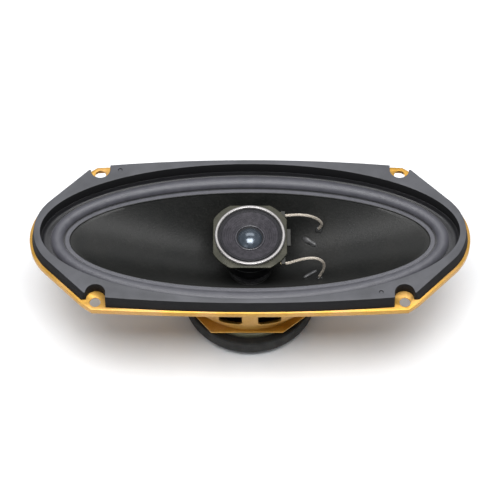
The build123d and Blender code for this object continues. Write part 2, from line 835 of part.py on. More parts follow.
tab_sides = {"positive": 1, "negative": -1}
for name, width in tab_widths.items():
    with BuildPart() as terminal_tab:
        with BuildSketch(board_plane.offset(board_thickness)):
            with Locations((0, tab_sides[name] * tab_offset)):
                Rectangle(tab_foot, width)
        extrude(amount=tab_thickness)
        with BuildSketch(board_plane.offset(board_thickness)):
            with Locations((tab_foot / 2 - tab_thickness / 2, tab_sides[name] * tab_offset)):
                Rectangle(tab_thickness, width)
        extrude(amount=tab_length)
    export(terminal_tab.part, f"terminal_tab_{name}")

lead_lift = lead_diameter / 2 + surround_gap
lead_end = board_centre - arm_direction * lead_setback - arm_outward * lead_lift
for name, across in (("rear", 1), ("front", -1)):
    route = [
        (42.0, across * 16.4, -20.6), (43.0, across * 16.0, -25.0), (49.6, across * 14.2, -30.0),
        (58.5, across * 12.3, -32.0), (lead_end.X, across * tab_offset, lead_end.Z),
    ]
    export(tube_along(route, lead_diameter), f"woofer_lead_{name}")
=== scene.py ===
# %% [markdown]
# # A two-way coaxial car speaker, 4 x 10 inch class
#
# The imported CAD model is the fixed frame: every size and place below is read
# from it. This lesson gives each visible piece its final mesh and its finish.
# The origin is the centre of the mounting flange's front face, +Z points at
# the listener, and +X runs along the long axis.

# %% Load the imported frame
import json
import math

import bmesh
import bpy
import numpy as np
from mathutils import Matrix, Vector


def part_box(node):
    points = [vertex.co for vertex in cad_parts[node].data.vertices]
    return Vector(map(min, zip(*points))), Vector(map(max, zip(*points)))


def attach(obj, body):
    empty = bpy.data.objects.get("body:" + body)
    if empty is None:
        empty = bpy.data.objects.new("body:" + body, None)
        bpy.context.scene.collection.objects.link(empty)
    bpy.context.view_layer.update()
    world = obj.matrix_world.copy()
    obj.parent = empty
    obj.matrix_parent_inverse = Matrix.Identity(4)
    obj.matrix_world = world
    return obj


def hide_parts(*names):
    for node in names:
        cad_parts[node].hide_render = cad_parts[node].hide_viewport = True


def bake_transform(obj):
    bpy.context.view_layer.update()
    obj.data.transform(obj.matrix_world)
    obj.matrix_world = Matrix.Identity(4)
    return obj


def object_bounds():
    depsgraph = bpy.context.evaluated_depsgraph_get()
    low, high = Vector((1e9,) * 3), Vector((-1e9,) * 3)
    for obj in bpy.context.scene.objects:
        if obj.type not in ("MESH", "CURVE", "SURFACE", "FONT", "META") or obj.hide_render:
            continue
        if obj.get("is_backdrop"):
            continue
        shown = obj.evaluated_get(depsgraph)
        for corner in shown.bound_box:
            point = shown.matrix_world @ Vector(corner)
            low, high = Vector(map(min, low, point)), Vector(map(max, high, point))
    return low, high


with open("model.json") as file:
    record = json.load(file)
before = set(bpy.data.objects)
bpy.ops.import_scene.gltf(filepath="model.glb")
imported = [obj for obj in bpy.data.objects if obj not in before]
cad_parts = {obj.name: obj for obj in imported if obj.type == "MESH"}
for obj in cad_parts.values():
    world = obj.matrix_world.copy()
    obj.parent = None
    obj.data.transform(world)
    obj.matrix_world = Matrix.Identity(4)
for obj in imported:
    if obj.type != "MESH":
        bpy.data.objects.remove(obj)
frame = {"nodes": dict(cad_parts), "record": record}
cad_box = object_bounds()
MM = 0.001
slot_of = {name: node.data.materials[0].name for name, node in frame["nodes"].items()}
corners_mm = [round(c / MM, 1) for corner in cad_box for c in corner]
print("nodes", len(frame["nodes"]), "box in mm", corners_mm)

# %% [markdown]
# ## The camera
#
# The speaker stands on its back plate and is looked down on from the front,
# at a bit under sixty degrees. A long lens keeps the long oval from flaring,
# so the camera stands well back and the lens is longer than a portrait lens.

# %% Camera
camera_elevation = math.radians(57.4)
camera_distance = 1.30
camera_aim = Vector((0.0, 0.0, -0.014))
toward_camera = Vector((0, -math.cos(camera_elevation), math.sin(camera_elevation)))
camera = bpy.data.objects.new("camera", bpy.data.cameras.new("camera"))
camera.data.lens = 156
camera.location = camera_aim + toward_camera * camera_distance
camera.rotation_euler = toward_camera.to_track_quat("Z", "Y").to_euler()
bpy.context.scene.collection.objects.link(camera)
bpy.context.scene.camera = camera
print("camera at", [round(c, 3) for c in camera.location])

# %% [markdown]
# ## Floor and studio light
#
# A pale floor, a wide softbox nearly overhead and a second one behind make
# the long soft highlights that dark rubber and paper need to show their form.
# Area lights are used, since their size alone sets how soft a highlight is.


# %% Floor and lights
def softbox(name, place, aim, size, power):
    """A rectangular area light that faces a point."""
    light = bpy.data.objects.new(name, bpy.data.lights.new(name, "AREA"))
    light.data.shape = "RECTANGLE"
    light.data.size, light.data.size_y = size
    light.data.energy = power
    light.location = place
    light.rotation_euler = (Vector(place) - Vector(aim)).to_track_quat("Z", "Y").to_euler()
    bpy.context.scene.collection.objects.link(light)
    return light


softbox("overhead_softbox", (0, -0.25, 1.3), (0, 0, 0), (1.0, 0.7), 24)
softbox("rear_softbox", (0, 1.3, 1.5), (0, 0, 0), (1.8, 0.8), 13)
softbox("front_softbox", (-0.9, -1.3, 0.9), (0, 0, 0), (0.8, 0.8), 2)

world = bpy.data.worlds.new("studio")
bpy.context.scene.world = world
world.use_nodes = True
world.node_tree.nodes["Background"].inputs["Color"].default_value = (0.9, 0.93, 1.0, 1)
world.node_tree.nodes["Background"].inputs["Strength"].default_value = 0.28
bpy.context.scene.view_settings.view_transform = "Standard"

floor_mesh = bpy.data.meshes.new("studio_floor")
reach, level = 4.0, cad_box[0].z
floor_mesh.from_pydata(
    [(-reach, -reach, level), (reach, -reach, level), (reach, reach, level), (-reach, reach, level)],
    [], [(0, 1, 2, 3)],
)
studio_floor = bpy.data.objects.new("studio_floor", floor_mesh)
bpy.context.scene.collection.objects.link(studio_floor)
studio_floor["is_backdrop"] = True

# %% [markdown]
# ## Building finishes from nodes
#
# Each finish is a small node tree that starts from Object coordinates, scaled
# so that one unit is one millimetre. A pattern then has its real size, and it
# stays on the piece when the piece moves. These helpers keep each recipe to a
# few lines.


# %% Helpers for finishes
def add_node(tree, kind, inputs=None, **settings):
    """A node with its settings, and its inputs given as values or linked from sockets."""
    node = tree.nodes.new(kind)
    for name, value in settings.items():
        setattr(node, name, value)
    for name, value in (inputs or {}).items():
        if isinstance(value, bpy.types.NodeSocket):
            tree.links.new(value, node.inputs[name])
        else:
            node.inputs[name].default_value = value
    return node


class Finish:
    """A material with its tree and shader, and short names for common steps."""

    def __init__(self, name, **shader_values):
        self.material = bpy.data.materials.new(name)
        self.material.use_nodes = True
        self.tree = self.material.node_tree
        self.shader = self.tree.nodes["Principled BSDF"]
        for socket, value in shader_values.items():
            self.shader.inputs[socket.replace("_", " ")].default_value = value

    def millimetres(self, stretch=(1, 1, 1)):
        place = add_node(self.tree, "ShaderNodeTexCoord").outputs["Object"]
        scale = tuple(1000 * s for s in stretch)
        return add_node(self.tree, "ShaderNodeMapping", {"Vector": place, "Scale": scale}).outputs[0]

    def noise(self, size, detail=3.0, stretch=(1, 1, 1), distortion=0.0, vector=None):
        """Cloudy noise, with patches about this many millimetres across."""
        return add_node(
            self.tree, "ShaderNodeTexNoise",
            {
                "Vector": vector or self.millimetres(stretch), "Scale": 1 / size,
                "Detail": detail, "Distortion": distortion,
            },
        ).outputs["Fac"]

    def math(self, operation, a, b=0.0, c=0.0):
        node = add_node(self.tree, "ShaderNodeMath", operation=operation)
        for index, value in enumerate((a, b, c)):
            if isinstance(value, bpy.types.NodeSocket):
                self.tree.links.new(value, node.inputs[index])
            else:
                node.inputs[index].default_value = value
        return node.outputs[0]

    def spread(self, value, low, high, from_low=0.3, from_high=0.7):
        """Stretches a value from one range to another, clamped."""
        return add_node(
            self.tree, "ShaderNodeMapRange",
            {
                "Value": value, "From Min": from_low, "From Max": from_high,
                "To Min": low, "To Max": high,
            },
        ).outputs["Result"]

    def colours(self, value, *stops):
        """A colour ramp of (position, colour) stops."""
        ramp = add_node(self.tree, "ShaderNodeValToRGB", {"Fac": value})
        elements = ramp.color_ramp.elements
        while len(elements) < len(stops):
            elements.new(0.5)
        for element, (position, colour) in zip(elements, stops):
            element.position = position
            element.color = (*colour, 1)
        return ramp.outputs["Color"]

    def mix(self, amount, under, over, blend="MIX"):
        node = add_node(self.tree, "ShaderNodeMix", data_type="RGBA", blend_type=blend)
        for index, value in ((0, amount), (6, under), (7, over)):
            if isinstance(value, bpy.types.NodeSocket):
                self.tree.links.new(value, node.inputs[index])
            else:
                node.inputs[index].default_value = value if index == 0 else (*value, 1)
        return node.outputs[2]

    def bump(self, height, depth, under=None):
        """Relief of this many millimetres; a second bump can lie on a first."""
        inputs = {"Height": height, "Distance": depth * MM, "Strength": 1.0}
        if under:
            inputs["Normal"] = under
        return add_node(self.tree, "ShaderNodeBump", inputs).outputs["Normal"]

    def facing_up(self):
        """1 on faces that look at the listener, 0 on walls."""
        normal = add_node(self.tree, "ShaderNodeNewGeometry").outputs["Normal"]
        height = add_node(self.tree, "ShaderNodeSeparateXYZ", {"Vector": normal}).outputs["Z"]
        return self.spread(height, 0, 1, 0.55, 0.92)

    def radius(self, centre=(0, 0)):
        """Distance from the axis, in millimetres."""
        place = add_node(self.tree, "ShaderNodeSeparateXYZ", {"Vector": self.millimetres()})
        squares = [
            self.math("POWER", self.math("SUBTRACT", place.outputs[axis], shift), 2)
            for axis, shift in zip("XY", centre)
        ]
        return self.math("SQRT", self.math("ADD", *squares))

    def paint(self, colour=None, roughness=None, normal=None):
        """Links the varying sockets of the shader and returns the material."""
        for socket, value in (("Base Color", colour), ("Roughness", roughness), ("Normal", normal)):
            if value is not None:
                self.tree.links.new(value, self.shader.inputs[socket])
        return self.material


finishes = {}
print("helpers ready")

# %% [markdown]
# ## Metals
#
# The basket is pressed steel with a yellow zinc passivation, which is a gold
# film that drifts towards rose and green. Plated steel is greyer, with a cast
# of olive. Rolled and turned metal also has fine lines, so the roughness
# varies along them.


# %% Finishes of the metals
def metal(name, tones, roughness, cloud, grain=0.7, relief=0.02, **shader_values):
    """Metal with cloudy tone, fine grain and a roughness that varies with both."""
    finish = Finish(name, **shader_values)
    clouds = finish.noise(cloud, detail=4, distortion=0.4)
    fine = finish.noise(grain, detail=5)
    colour = finish.colours(clouds, *zip((0.32, 0.5, 0.68), tones))
    dulled = finish.mix(finish.spread(fine, 0, 0.35), colour, tuple(0.6 * c for c in tones[0]))
    rough = finish.math("ADD", finish.spread(clouds, *roughness), finish.spread(fine, -0.05, 0.08))
    return finish.paint(dulled, rough, finish.bump(fine, relief))


finishes["zinc_steel"] = metal(
    "yellow_zinc_steel", [(0.46, 0.24, 0.035), (0.58, 0.33, 0.068), (0.62, 0.36, 0.13)],
    (0.36, 0.5), 22, Metallic=0.8,
)
finishes["plated_steel"] = metal(
    "olive_plated_steel", [(0.030, 0.030, 0.020), (0.046, 0.045, 0.032), (0.07, 0.066, 0.048)],
    (0.36, 0.5), 9, Metallic=0.5,
)
# Painted light: a lighter copy of the plated steel, for the top plate alone, lit although it sits in the basket's
# shade
lightened_plate_finish = metal(
    "lightened_olive_plate_steel", [(0.10, 0.10, 0.062), (0.15, 0.148, 0.098), (0.20, 0.195, 0.135)],
    (0.36, 0.5), 9, Metallic=0.5,
)
finishes["rivet_steel"] = metal(
    "bright_rivet_steel", [(0.45, 0.42, 0.34), (0.6, 0.56, 0.47), (0.66, 0.6, 0.5)],
    (0.25, 0.42), 3, Metallic=1.0,
)
finishes["ring_metal"] = metal(
    "satin_trim_metal", [(0.33, 0.315, 0.31), (0.39, 0.375, 0.37), (0.45, 0.435, 0.425)],
    (0.34, 0.46), 6, grain=0.4, relief=0.004, Metallic=0.8,
)
finishes["tab_brass"] = metal(
    "tinned_brass", [(0.62, 0.47, 0.2), (0.72, 0.62, 0.42), (0.7, 0.68, 0.62)],
    (0.3, 0.45), 3, Metallic=1.0,
)
finishes["black_steel"] = metal(
    "black_painted_steel", [(0.012, 0.012, 0.012), (0.018, 0.018, 0.018), (0.026, 0.025, 0.024)],
    (0.32, 0.5), 12, grain=0.9, relief=0.06, Coat_Weight=0.3, Coat_Roughness=0.25,
)
finishes["post_steel"] = metal(
    "blackened_post_steel", [(0.02, 0.02, 0.021), (0.03, 0.03, 0.032), (0.045, 0.044, 0.043)],
    (0.38, 0.55), 7, Metallic=0.6,
)
print("metals", sorted(finishes))

# %% [markdown]
# ## Magnet, plastics, board and films
#
# Ferrite is a pressed and fired ceramic: black, matt and grainy. Moulded
# plastic is smoother, with a fine spark texture. The terminal board is
# phenolic paper with fibres that run one way.

# %% Finishes of the moulded and fired pieces
finish = Finish("fired_ferrite", Specular_IOR_Level=0.3)
grit = finish.noise(0.6, detail=8)
finishes["ferrite"] = finish.paint(
    finish.colours(
        grit, (0.3, (0.007, 0.007, 0.0065)), (0.62, (0.014, 0.0138, 0.0125)),
        (0.76, (0.035, 0.034, 0.030)),
    ),
    finish.spread(finish.noise(6), 0.5, 0.72), finish.bump(grit, 0.12),
)

finish = Finish("satin_black_plastic", IOR=1.5)
spark = finish.noise(0.35, detail=2)
clouds = finish.noise(8)
finishes["housing_plastic"] = finish.paint(
    finish.colours(clouds, (0.35, (0.004, 0.004, 0.005)), (0.65, (0.009, 0.009, 0.010))),
    finish.spread(clouds, 0.42, 0.56), finish.bump(spark, 0.03),
)

finish = Finish("phenolic_board")
fibres = finish.noise(0.5, detail=5, stretch=(1, 0.12, 1))
finishes["board_fibre"] = finish.paint(
    finish.colours(
        fibres, (0.3, (0.10, 0.045, 0.018)), (0.5, (0.17, 0.08, 0.033)), (0.7, (0.24, 0.13, 0.06)),
    ),
    finish.spread(fibres, 0.38, 0.6), finish.bump(fibres, 0.03),
)

finish = Finish("vulcanised_fibre")
fibres = finish.noise(0.8, detail=6)
finishes["fibre_ring"] = finish.paint(
    finish.colours(fibres, (0.3, (0.05, 0.028, 0.016)), (0.7, (0.12, 0.07, 0.04))),
    finish.spread(fibres, 0.55, 0.75), finish.bump(fibres, 0.05),
)

finish = Finish("coil_former_film", Coat_Weight=0.4, Coat_Roughness=0.2)
streaks = finish.noise(1.2, stretch=(1, 1, 0.2))
finishes["coil_form"] = finish.paint(
    finish.colours(streaks, (0.3, (0.22, 0.11, 0.03)), (0.7, (0.36, 0.2, 0.07))),
    finish.spread(streaks, 0.25, 0.4), finish.bump(streaks, 0.01),
)

finish = Finish("enamelled_copper", Metallic=0.9, Coat_Weight=0.6, Coat_Roughness=0.12)
turns = finish.noise(0.5, stretch=(0.05, 0.05, 1))
finishes["copper_wire"] = finish.paint(
    finish.colours(turns, (0.3, (0.42, 0.14, 0.05)), (0.7, (0.68, 0.28, 0.12))),
    finish.spread(turns, 0.22, 0.4),
)

finish = Finish("dust_felt", Sheen_Weight=0.5, Sheen_Roughness=0.5)
hairs = finish.noise(0.4, detail=8, distortion=1.5)
finishes["felt"] = finish.paint(
    finish.colours(hairs, (0.3, (0.012, 0.012, 0.013)), (0.7, (0.05, 0.05, 0.052))),
    finish.spread(hairs, 0.85, 1.0), finish.bump(hairs, 0.25),
)

finish = Finish("dark_adhesive", Coat_Weight=0.25, Coat_Roughness=0.3, Subsurface_Weight=0.1)
finish.shader.inputs["Subsurface Radius"].default_value = (0.001, 0.001, 0.001)
lumps = finish.noise(2.2, detail=2)
finishes["glue"] = finish.paint(
    finish.colours(lumps, (0.3, (0.035, 0.035, 0.036)), (0.7, (0.085, 0.085, 0.086))),
    finish.spread(lumps, 0.3, 0.5), finish.bump(lumps, 0.2),
)
print("finishes so far", len(finishes))

# %% [markdown]
# ## Foam rubber, treated cloth and paper
#
# The gasket's top is a smooth moulded skin, and its walls are painted near black
# as painted shade. The surround is cloth doped with black rubber, so the weave
# shows as a faint grid; its outer flat and a line by the cone are painted dark as
# painted shade. The cone is dyed pulp: short fibres, and darker and lighter clouds.

# %% Finishes of the soft pieces
finish = Finish("moulded_foam_rubber", IOR=1.48, Specular_IOR_Level=0.38)
skin = finish.noise(0.7, detail=6)
clouds = finish.noise(16, detail=3)
up = finish.facing_up()
tone = finish.colours(clouds, (0.35, (0.058, 0.059, 0.065)), (0.65, (0.080, 0.081, 0.090)))
finishes["gasket_foam"] = finish.paint(
    # Painted shade: the walls are painted near black, the top keeps the foam's tone
    finish.mix(up, (0.005, 0.005, 0.006), tone),
    finish.math("SUBTRACT", finish.spread(clouds, 0.82, 0.9), finish.math("MULTIPLY", up, 0.38)),
    finish.bump(skin, 0.05),
)


def woven(finish, across, along, pitch):
    """Height of a plain weave, from two coordinates in millimetres."""
    waves = [
        finish.math("SINE", finish.math("MULTIPLY", socket, 2 * math.pi / pitch))
        for socket in (across, along)
    ]
    return finish.math("MULTIPLY", *waves)


finish = Finish("doped_surround_cloth", Sheen_Weight=0.15, Sheen_Roughness=0.4)
chart = add_node(finish.tree, "ShaderNodeUVMap").outputs[0]
place = add_node(finish.tree, "ShaderNodeSeparateXYZ", {"Vector": chart})
threads = woven(finish, place.outputs["X"], place.outputs["Y"], 1.0)
doping = finish.noise(5, detail=4)
shaded_travel = 20     # how far across the section the shades reach, in the chart's unit
across_roll = finish.spread(place.outputs["Y"], 0, 1, 0, shaded_travel)
# Painted shade: the outer flat in the recess and a thin line at the step by the cone are painted dark; a thin
# line just inside is a little lighter
shades = (
    (0.0, 0.12), (0.19, 0.16), (0.27, 0.9), (0.42, 1.0), (0.78, 0.9),
    (0.835, 0.12), (0.86, 0.16), (0.89, 1.1), (0.96, 0.9),
)
painted_shade_band = finish.colours(across_roll, *((spot, (shade,) * 3) for spot, shade in shades))
cloth_tone = finish.colours(
    finish.math("ADD", doping, finish.math("MULTIPLY", threads, 0.06)),
    (0.3, (0.064, 0.064, 0.075)), (0.5, (0.074, 0.074, 0.087)), (0.75, (0.086, 0.086, 0.099)),
)
finishes["surround_cloth"] = finish.paint(
    finish.mix(1.0, cloth_tone, painted_shade_band, blend="MULTIPLY"),
    finish.spread(doping, 0.34, 0.44), finish.bump(threads, 0.04, under=finish.bump(doping, 0.06)),
)

finish = Finish("dyed_cone_pulp", Specular_IOR_Level=0.32, Sheen_Weight=0.02, Sheen_Roughness=0.5)
clouds = finish.noise(24, detail=4, distortion=0.6)
fibres = finish.noise(0.9, detail=7, distortion=1.2)
tone = finish.colours(
    clouds, (0.3, (0.0040, 0.0045, 0.0040)), (0.5, (0.0065, 0.0068, 0.0060)),
    (0.7, (0.0095, 0.0092, 0.0080)),
)
finishes["cone_paper"] = finish.paint(
    finish.mix(finish.spread(fibres, 0, 0.5, 0.5, 0.75), tone, (0.020, 0.020, 0.018)),
    finish.spread(fibres, 0.36, 0.52), finish.bump(fibres, 0.12),
)

finish = Finish("corrugated_spider_cloth", Sheen_Weight=0.3)
place = add_node(finish.tree, "ShaderNodeSeparateXYZ", {"Vector": finish.millimetres()})
threads = woven(finish, place.outputs["X"], place.outputs["Y"], 0.9)
resin = finish.noise(4)
finishes["spider_cloth"] = finish.paint(
    finish.colours(
        finish.math("ADD", resin, finish.math("MULTIPLY", threads, 0.1)),
        (0.3, (0.26, 0.15, 0.05)), (0.5, (0.42, 0.27, 0.1)), (0.7, (0.55, 0.4, 0.19)),
    ),
    finish.spread(resin, 0.6, 0.8), finish.bump(threads, 0.12),
)

finish = Finish("tweeter_cone_paper", Specular_IOR_Level=0.35, Sheen_Weight=0.15, Sheen_Roughness=0.4)
fibres = finish.noise(0.45, detail=6)
blotches = finish.noise(2.4, detail=3)
rib_pitch = 1.25
rings = finish.math("SINE", finish.math("MULTIPLY", finish.radius(), 2 * math.pi / rib_pitch))
tone = finish.colours(
    finish.math("ADD", finish.math("MULTIPLY", rings, 0.04), blotches),
    (0.33, (0.017, 0.0155, 0.020)), (0.5, (0.027, 0.0245, 0.030)), (0.7, (0.040, 0.036, 0.044)),
)
# Painted shade: the paper is darkened in the gap round the dome and towards the trim ring's edge
foot_fade, edge_fade = (8.0, 8.6), (16.3, 16.9)     # where the dark ends fade, mm from the axis
shade_by_dome = finish.spread(finish.radius(), 0.9, 0, *foot_fade)
shade_under_ring = finish.spread(finish.radius(), 0, 0.75, *edge_fade)
shaded = finish.math("ADD", shade_by_dome, shade_under_ring)
specked = finish.mix(finish.spread(fibres, 0.6, 0, 0.28, 0.4), tone, (0.008, 0.007, 0.011))
finishes["tweeter_paper"] = finish.paint(
    finish.mix(shaded, specked, (0.006, 0.006, 0.008)),
    finish.spread(fibres, 0.55, 0.75), finish.bump(fibres, 0.08),
)

finish = Finish("glossy_dome_film", Coat_Weight=0.6, Coat_Roughness=0.16, IOR=1.6, Metallic=0.6)
haze = finish.noise(3, detail=2)
finishes["dome_film"] = finish.paint(
    finish.colours(haze, (0.35, (0.055, 0.072, 0.092)), (0.65, (0.085, 0.105, 0.13))),
    finish.spread(haze, 0.20, 0.27),
)

finish = Finish("tinned_tinsel_braid", Metallic=0.35)
glint = finish.noise(0.5, detail=4)
finishes["tinsel_braid"] = finish.paint(
    finish.colours(glint, (0.3, (0.24, 0.20, 0.16)), (0.5, (0.50, 0.45, 0.38)), (0.68, (0.70, 0.65, 0.58))),
    finish.spread(glint, 0.35, 0.6),
)

finish = Finish("dark_strip_board")
fibres = finish.noise(0.5, detail=5, stretch=(1, 0.12, 1))
dark_board = finish.paint(
    finish.colours(fibres, (0.3, (0.010, 0.010, 0.008)), (0.7, (0.026, 0.025, 0.020))),
    finish.spread(fibres, 0.4, 0.6), finish.bump(fibres, 0.02),
)

finish = Finish("cool_solder", Metallic=1.0)
frost = finish.noise(0.6, detail=4)
solder = finish.paint(
    finish.colours(frost, (0.3, (0.32, 0.32, 0.33)), (0.7, (0.6, 0.6, 0.61))),
    finish.spread(frost, 0.2, 0.4), finish.bump(frost, 0.04),
)

finish = Finish("black_rubber_cement", Coat_Weight=0.4, Coat_Roughness=0.25)
lumps = finish.noise(1.6, detail=3)
cement = finish.paint(
    finish.colours(lumps, (0.3, (0.010, 0.010, 0.010)), (0.7, (0.022, 0.022, 0.022))),
    finish.spread(lumps, 0.3, 0.5), finish.bump(lumps, 0.1),
)

finish = Finish("clear_dome_lacquer", Coat_Weight=0.5, Coat_Roughness=0.22, IOR=1.5)
runs = finish.noise(1.8, detail=2)
lacquer = finish.paint(
    finish.colours(runs, (0.3, (0.020, 0.019, 0.024)), (0.7, (0.045, 0.043, 0.052))),
    finish.spread(runs, 0.28, 0.45), finish.bump(runs, 0.03),
)

finish = Finish("studio_floor_paint")
speckle = finish.noise(40, detail=4)
studio_floor.data.materials.append(finish.paint(
    finish.colours(speckle, (0.3, (0.80, 0.81, 0.82)), (0.7, (0.84, 0.85, 0.86))),
    finish.spread(speckle, 0.7, 0.8),
))
for name, node in frame["nodes"].items():
    node.data.materials.clear()
    node.data.materials.append(finishes[slot_of[name]])
frame["nodes"]["tweeter_terminal_strip"].data.materials[0] = dark_board
# The top plate gets the lighter copy of the plated steel, as painted light
frame["nodes"]["top_plate"].data.materials[0] = lightened_plate_finish
print("finishes", len(finishes), "given to", len(frame["nodes"]), "nodes")

# %% [markdown]
# ## Helpers for shapes
#
# Nearly every piece of a speaker is a hoop: one section carried round a
# circle or an oval. `hoop` joins level ovals, given as half length, half
# width and height, into one closed skin. Its UV map is in millimetres, so a
# weave keeps its size all the way round.


# %% Helpers for shapes
def place_piece(name, mesh, body, replaced, finish_slot, material=None):
    """Links a finished mesh at the origin, puts it under its body and hides the CAD nodes it replaces."""
    piece = bpy.data.objects.new(name, mesh)
    bpy.context.scene.collection.objects.link(piece)
    if not mesh.materials:
        mesh.materials.append(material or finishes[finish_slot])
    if body:
        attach(piece, body)
    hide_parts(*replaced)
    return piece


def even_angles(half_length, half_width, steps):
    """Angles that space points evenly along an oval, and the oval's length."""
    fine = np.linspace(0, 2 * math.pi, 4001)
    strides = np.hypot(half_length * np.diff(np.cos(fine)), half_width * np.diff(np.sin(fine)))
    arc = np.concatenate([[0], np.cumsum(strides)])
    return np.interp(np.linspace(0, arc[-1], steps + 1), arc, fine)[:-1], arc[-1]


def hoop(sections, steps, closed=True, guide=None, smooth_angle=40):
    """A mesh through level ovals (half length, half width, height), in millimetres."""
    sections = np.array(sections, float)
    guide = guide or tuple(sections[:, :2].max(0))
    angles, length = even_angles(*guide, steps)
    strides = np.hypot(np.diff(sections[:, 1]), np.diff(sections[:, 2]))
    travel = np.concatenate([[0], np.cumsum(strides)])
    points, rings = [], []
    for half_length, half_width, height in sections:
        if half_length < 1e-6:
            rings.append([len(points)] * steps)
            points.append((0, 0, height))
        else:
            rings.append(list(range(len(points), len(points) + steps)))
            points += [
                (half_length * math.cos(a), half_width * math.sin(a), height) for a in angles
            ]
    shape = bmesh.new()
    vertices = [shape.verts.new(Vector(p) * MM) for p in points]
    chart = shape.loops.layers.uv.new("UVMap")
    pairs = [(number, number + 1) for number in range(len(rings) - 1)]
    if closed:
        pairs.append((len(rings) - 1, 0))
    for low, high in pairs:
        rise = (travel[low], travel[high] if high else travel[-1] + 1)
        for step in range(steps):
            after = (step + 1) % steps
            corners = [
                (rings[low][step], step, rise[0]), (rings[low][after], step + 1, rise[0]),
                (rings[high][after], step + 1, rise[1]), (rings[high][step], step, rise[1]),
            ]
            kept = [c for i, c in enumerate(corners) if c[0] not in [d[0] for d in corners[:i]]]
            face = shape.faces.new([vertices[c[0]] for c in kept])
            for loop, corner in zip(face.loops, kept):
                loop[chart].uv = (corner[1] * round(length) / steps, corner[2])
    return finished_mesh(shape, smooth_angle)


def finished_mesh(shape, smooth_angle=40):
    """Turns a bmesh into a mesh whose faces point outwards, with sharp edges kept sharp."""
    bmesh.ops.recalc_face_normals(shape, faces=shape.faces)
    limit = math.radians(smooth_angle)
    for face in shape.faces:
        face.smooth = True
    for edge in shape.edges:
        edge.smooth = len(edge.link_faces) < 2 or edge.calc_face_angle() < limit
    mesh = bpy.data.meshes.new("skin")
    shape.to_mesh(mesh)
    shape.free()
    return mesh


def share_motion(piece):
    """Bakes the piece's placement into its mesh."""
    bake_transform(piece)


def evaluated_mesh(piece):
    """The piece as its modifiers leave it, as a plain mesh."""
    bpy.context.view_layer.update()
    graph = bpy.context.evaluated_depsgraph_get()
    return bpy.data.meshes.new_from_object(piece.evaluated_get(graph), depsgraph=graph)


def softened(name, node, bevel, segments=2, angle=30):
    """A copy of a CAD node, merged and with its edges rounded."""
    shape = bmesh.new()
    shape.from_mesh(frame["nodes"][node].data)
    bmesh.ops.remove_doubles(shape, verts=shape.verts, dist=2e-6)
    bmesh.ops.dissolve_limit(
        shape, angle_limit=math.radians(0.4), verts=shape.verts, edges=shape.edges,
        use_dissolve_boundaries=False,
    )
    mesh = bpy.data.meshes.new("merged")
    shape.to_mesh(mesh)
    shape.free()
    carrier = bpy.data.objects.new("carrier", mesh)
    bpy.context.scene.collection.objects.link(carrier)
    rounding = carrier.modifiers.new("edges", "BEVEL")
    rounding.width, rounding.segments, rounding.limit_method = bevel * MM, segments, "ANGLE"
    rounding.angle_limit = math.radians(angle)
    rounding.use_clamp_overlap = True
    shape = bmesh.new()
    shape.from_mesh(evaluated_mesh(carrier))
    bpy.data.objects.remove(carrier)
    mesh = finished_mesh(shape, 32)
    mesh.materials.append(finishes[slot_of[node]])
    bodies = frame["record"]["behaviour"]["bodies"]
    body = next(body for body, members in bodies.items() if node in members)
    piece = place_piece(name, mesh, body, [node], slot_of[node])
    print(name, len(mesh.polygons), "faces")
    return piece


# %% [markdown]
# ## Basket, gasket and tweeter frame
#
# A press leaves every edge of sheet steel slightly rounded, and a mould does
# the same to foam rubber. A light bevel on a merged copy of the CAD shape
# gives those edges the thin highlight that says how thick the sheet is.

# %% Rounded pressings and mouldings
softened("basket_pressing", "basket", 0.25)
softened("gasket_ring", "mounting_gasket", 0.7, segments=3)
softened("tweeter_frame_pressing", "tweeter_frame", 0.35, segments=3)
softened("terminal_board_blank", "terminal_board", 0.2)
for side in ("positive", "negative"):
    softened(f"terminal_blade_{side}", f"terminal_tab_{side}", 0.2)
for name, node, edge in (
    ("magnet_ring", "magnet", 0.35), ("motor_top_plate", "top_plate", 0.35),
    ("motor_back_plate", "back_plate", 0.3), ("post_turning", "tweeter_post", 0.3),
    ("post_screw_head", "post_screw", 0.15), ("screw_washer", "post_washer", 0.12),
):
    softened(name, node, edge)
# The top plate gets the lighter copy of the plated steel, as painted light
bpy.data.objects["motor_top_plate"].data.materials[0] = lightened_plate_finish

# %% [markdown]
# ## Surround
#
# The surround is a half roll of doped cloth between the ledge and the cone.
# Its outer flat stays with the basket and its inner flat moves with the cone.

# %% Surround roll
lo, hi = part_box("surround")
outer_edge = (hi.x / MM, hi.y / MM)
flat_low, crest_high = lo.z / MM, hi.z / MM
cloth, roll = 0.6, 4.0      # thickness, and radius of the half roll
outer_flat, cone_flat = (5.0, 2.2), (3.3, 3.0)
foot = tuple(edge - flat for edge, flat in zip(outer_edge, outer_flat))
crest = tuple(size - roll for size in foot)
inner_foot = tuple(size - roll for size in crest)
cone_mouth = tuple(size - flat for size, flat in zip(inner_foot, cone_flat))
rise = crest_high - flat_low - cloth


def inset(oval, along, across, height):
    """A level oval, drawn in along its length and across it."""
    return (oval[0] - along, oval[1] - across, height)


def roll_sections(radius, base, points=22):
    """Ovals over the half roll, from its outer foot to its inner foot."""
    return [
        inset(crest, -radius * math.cos(t), -radius * math.cos(t), base + rise * math.sin(t) ** 0.9)
        for t in np.linspace(0, math.pi, points)
    ]


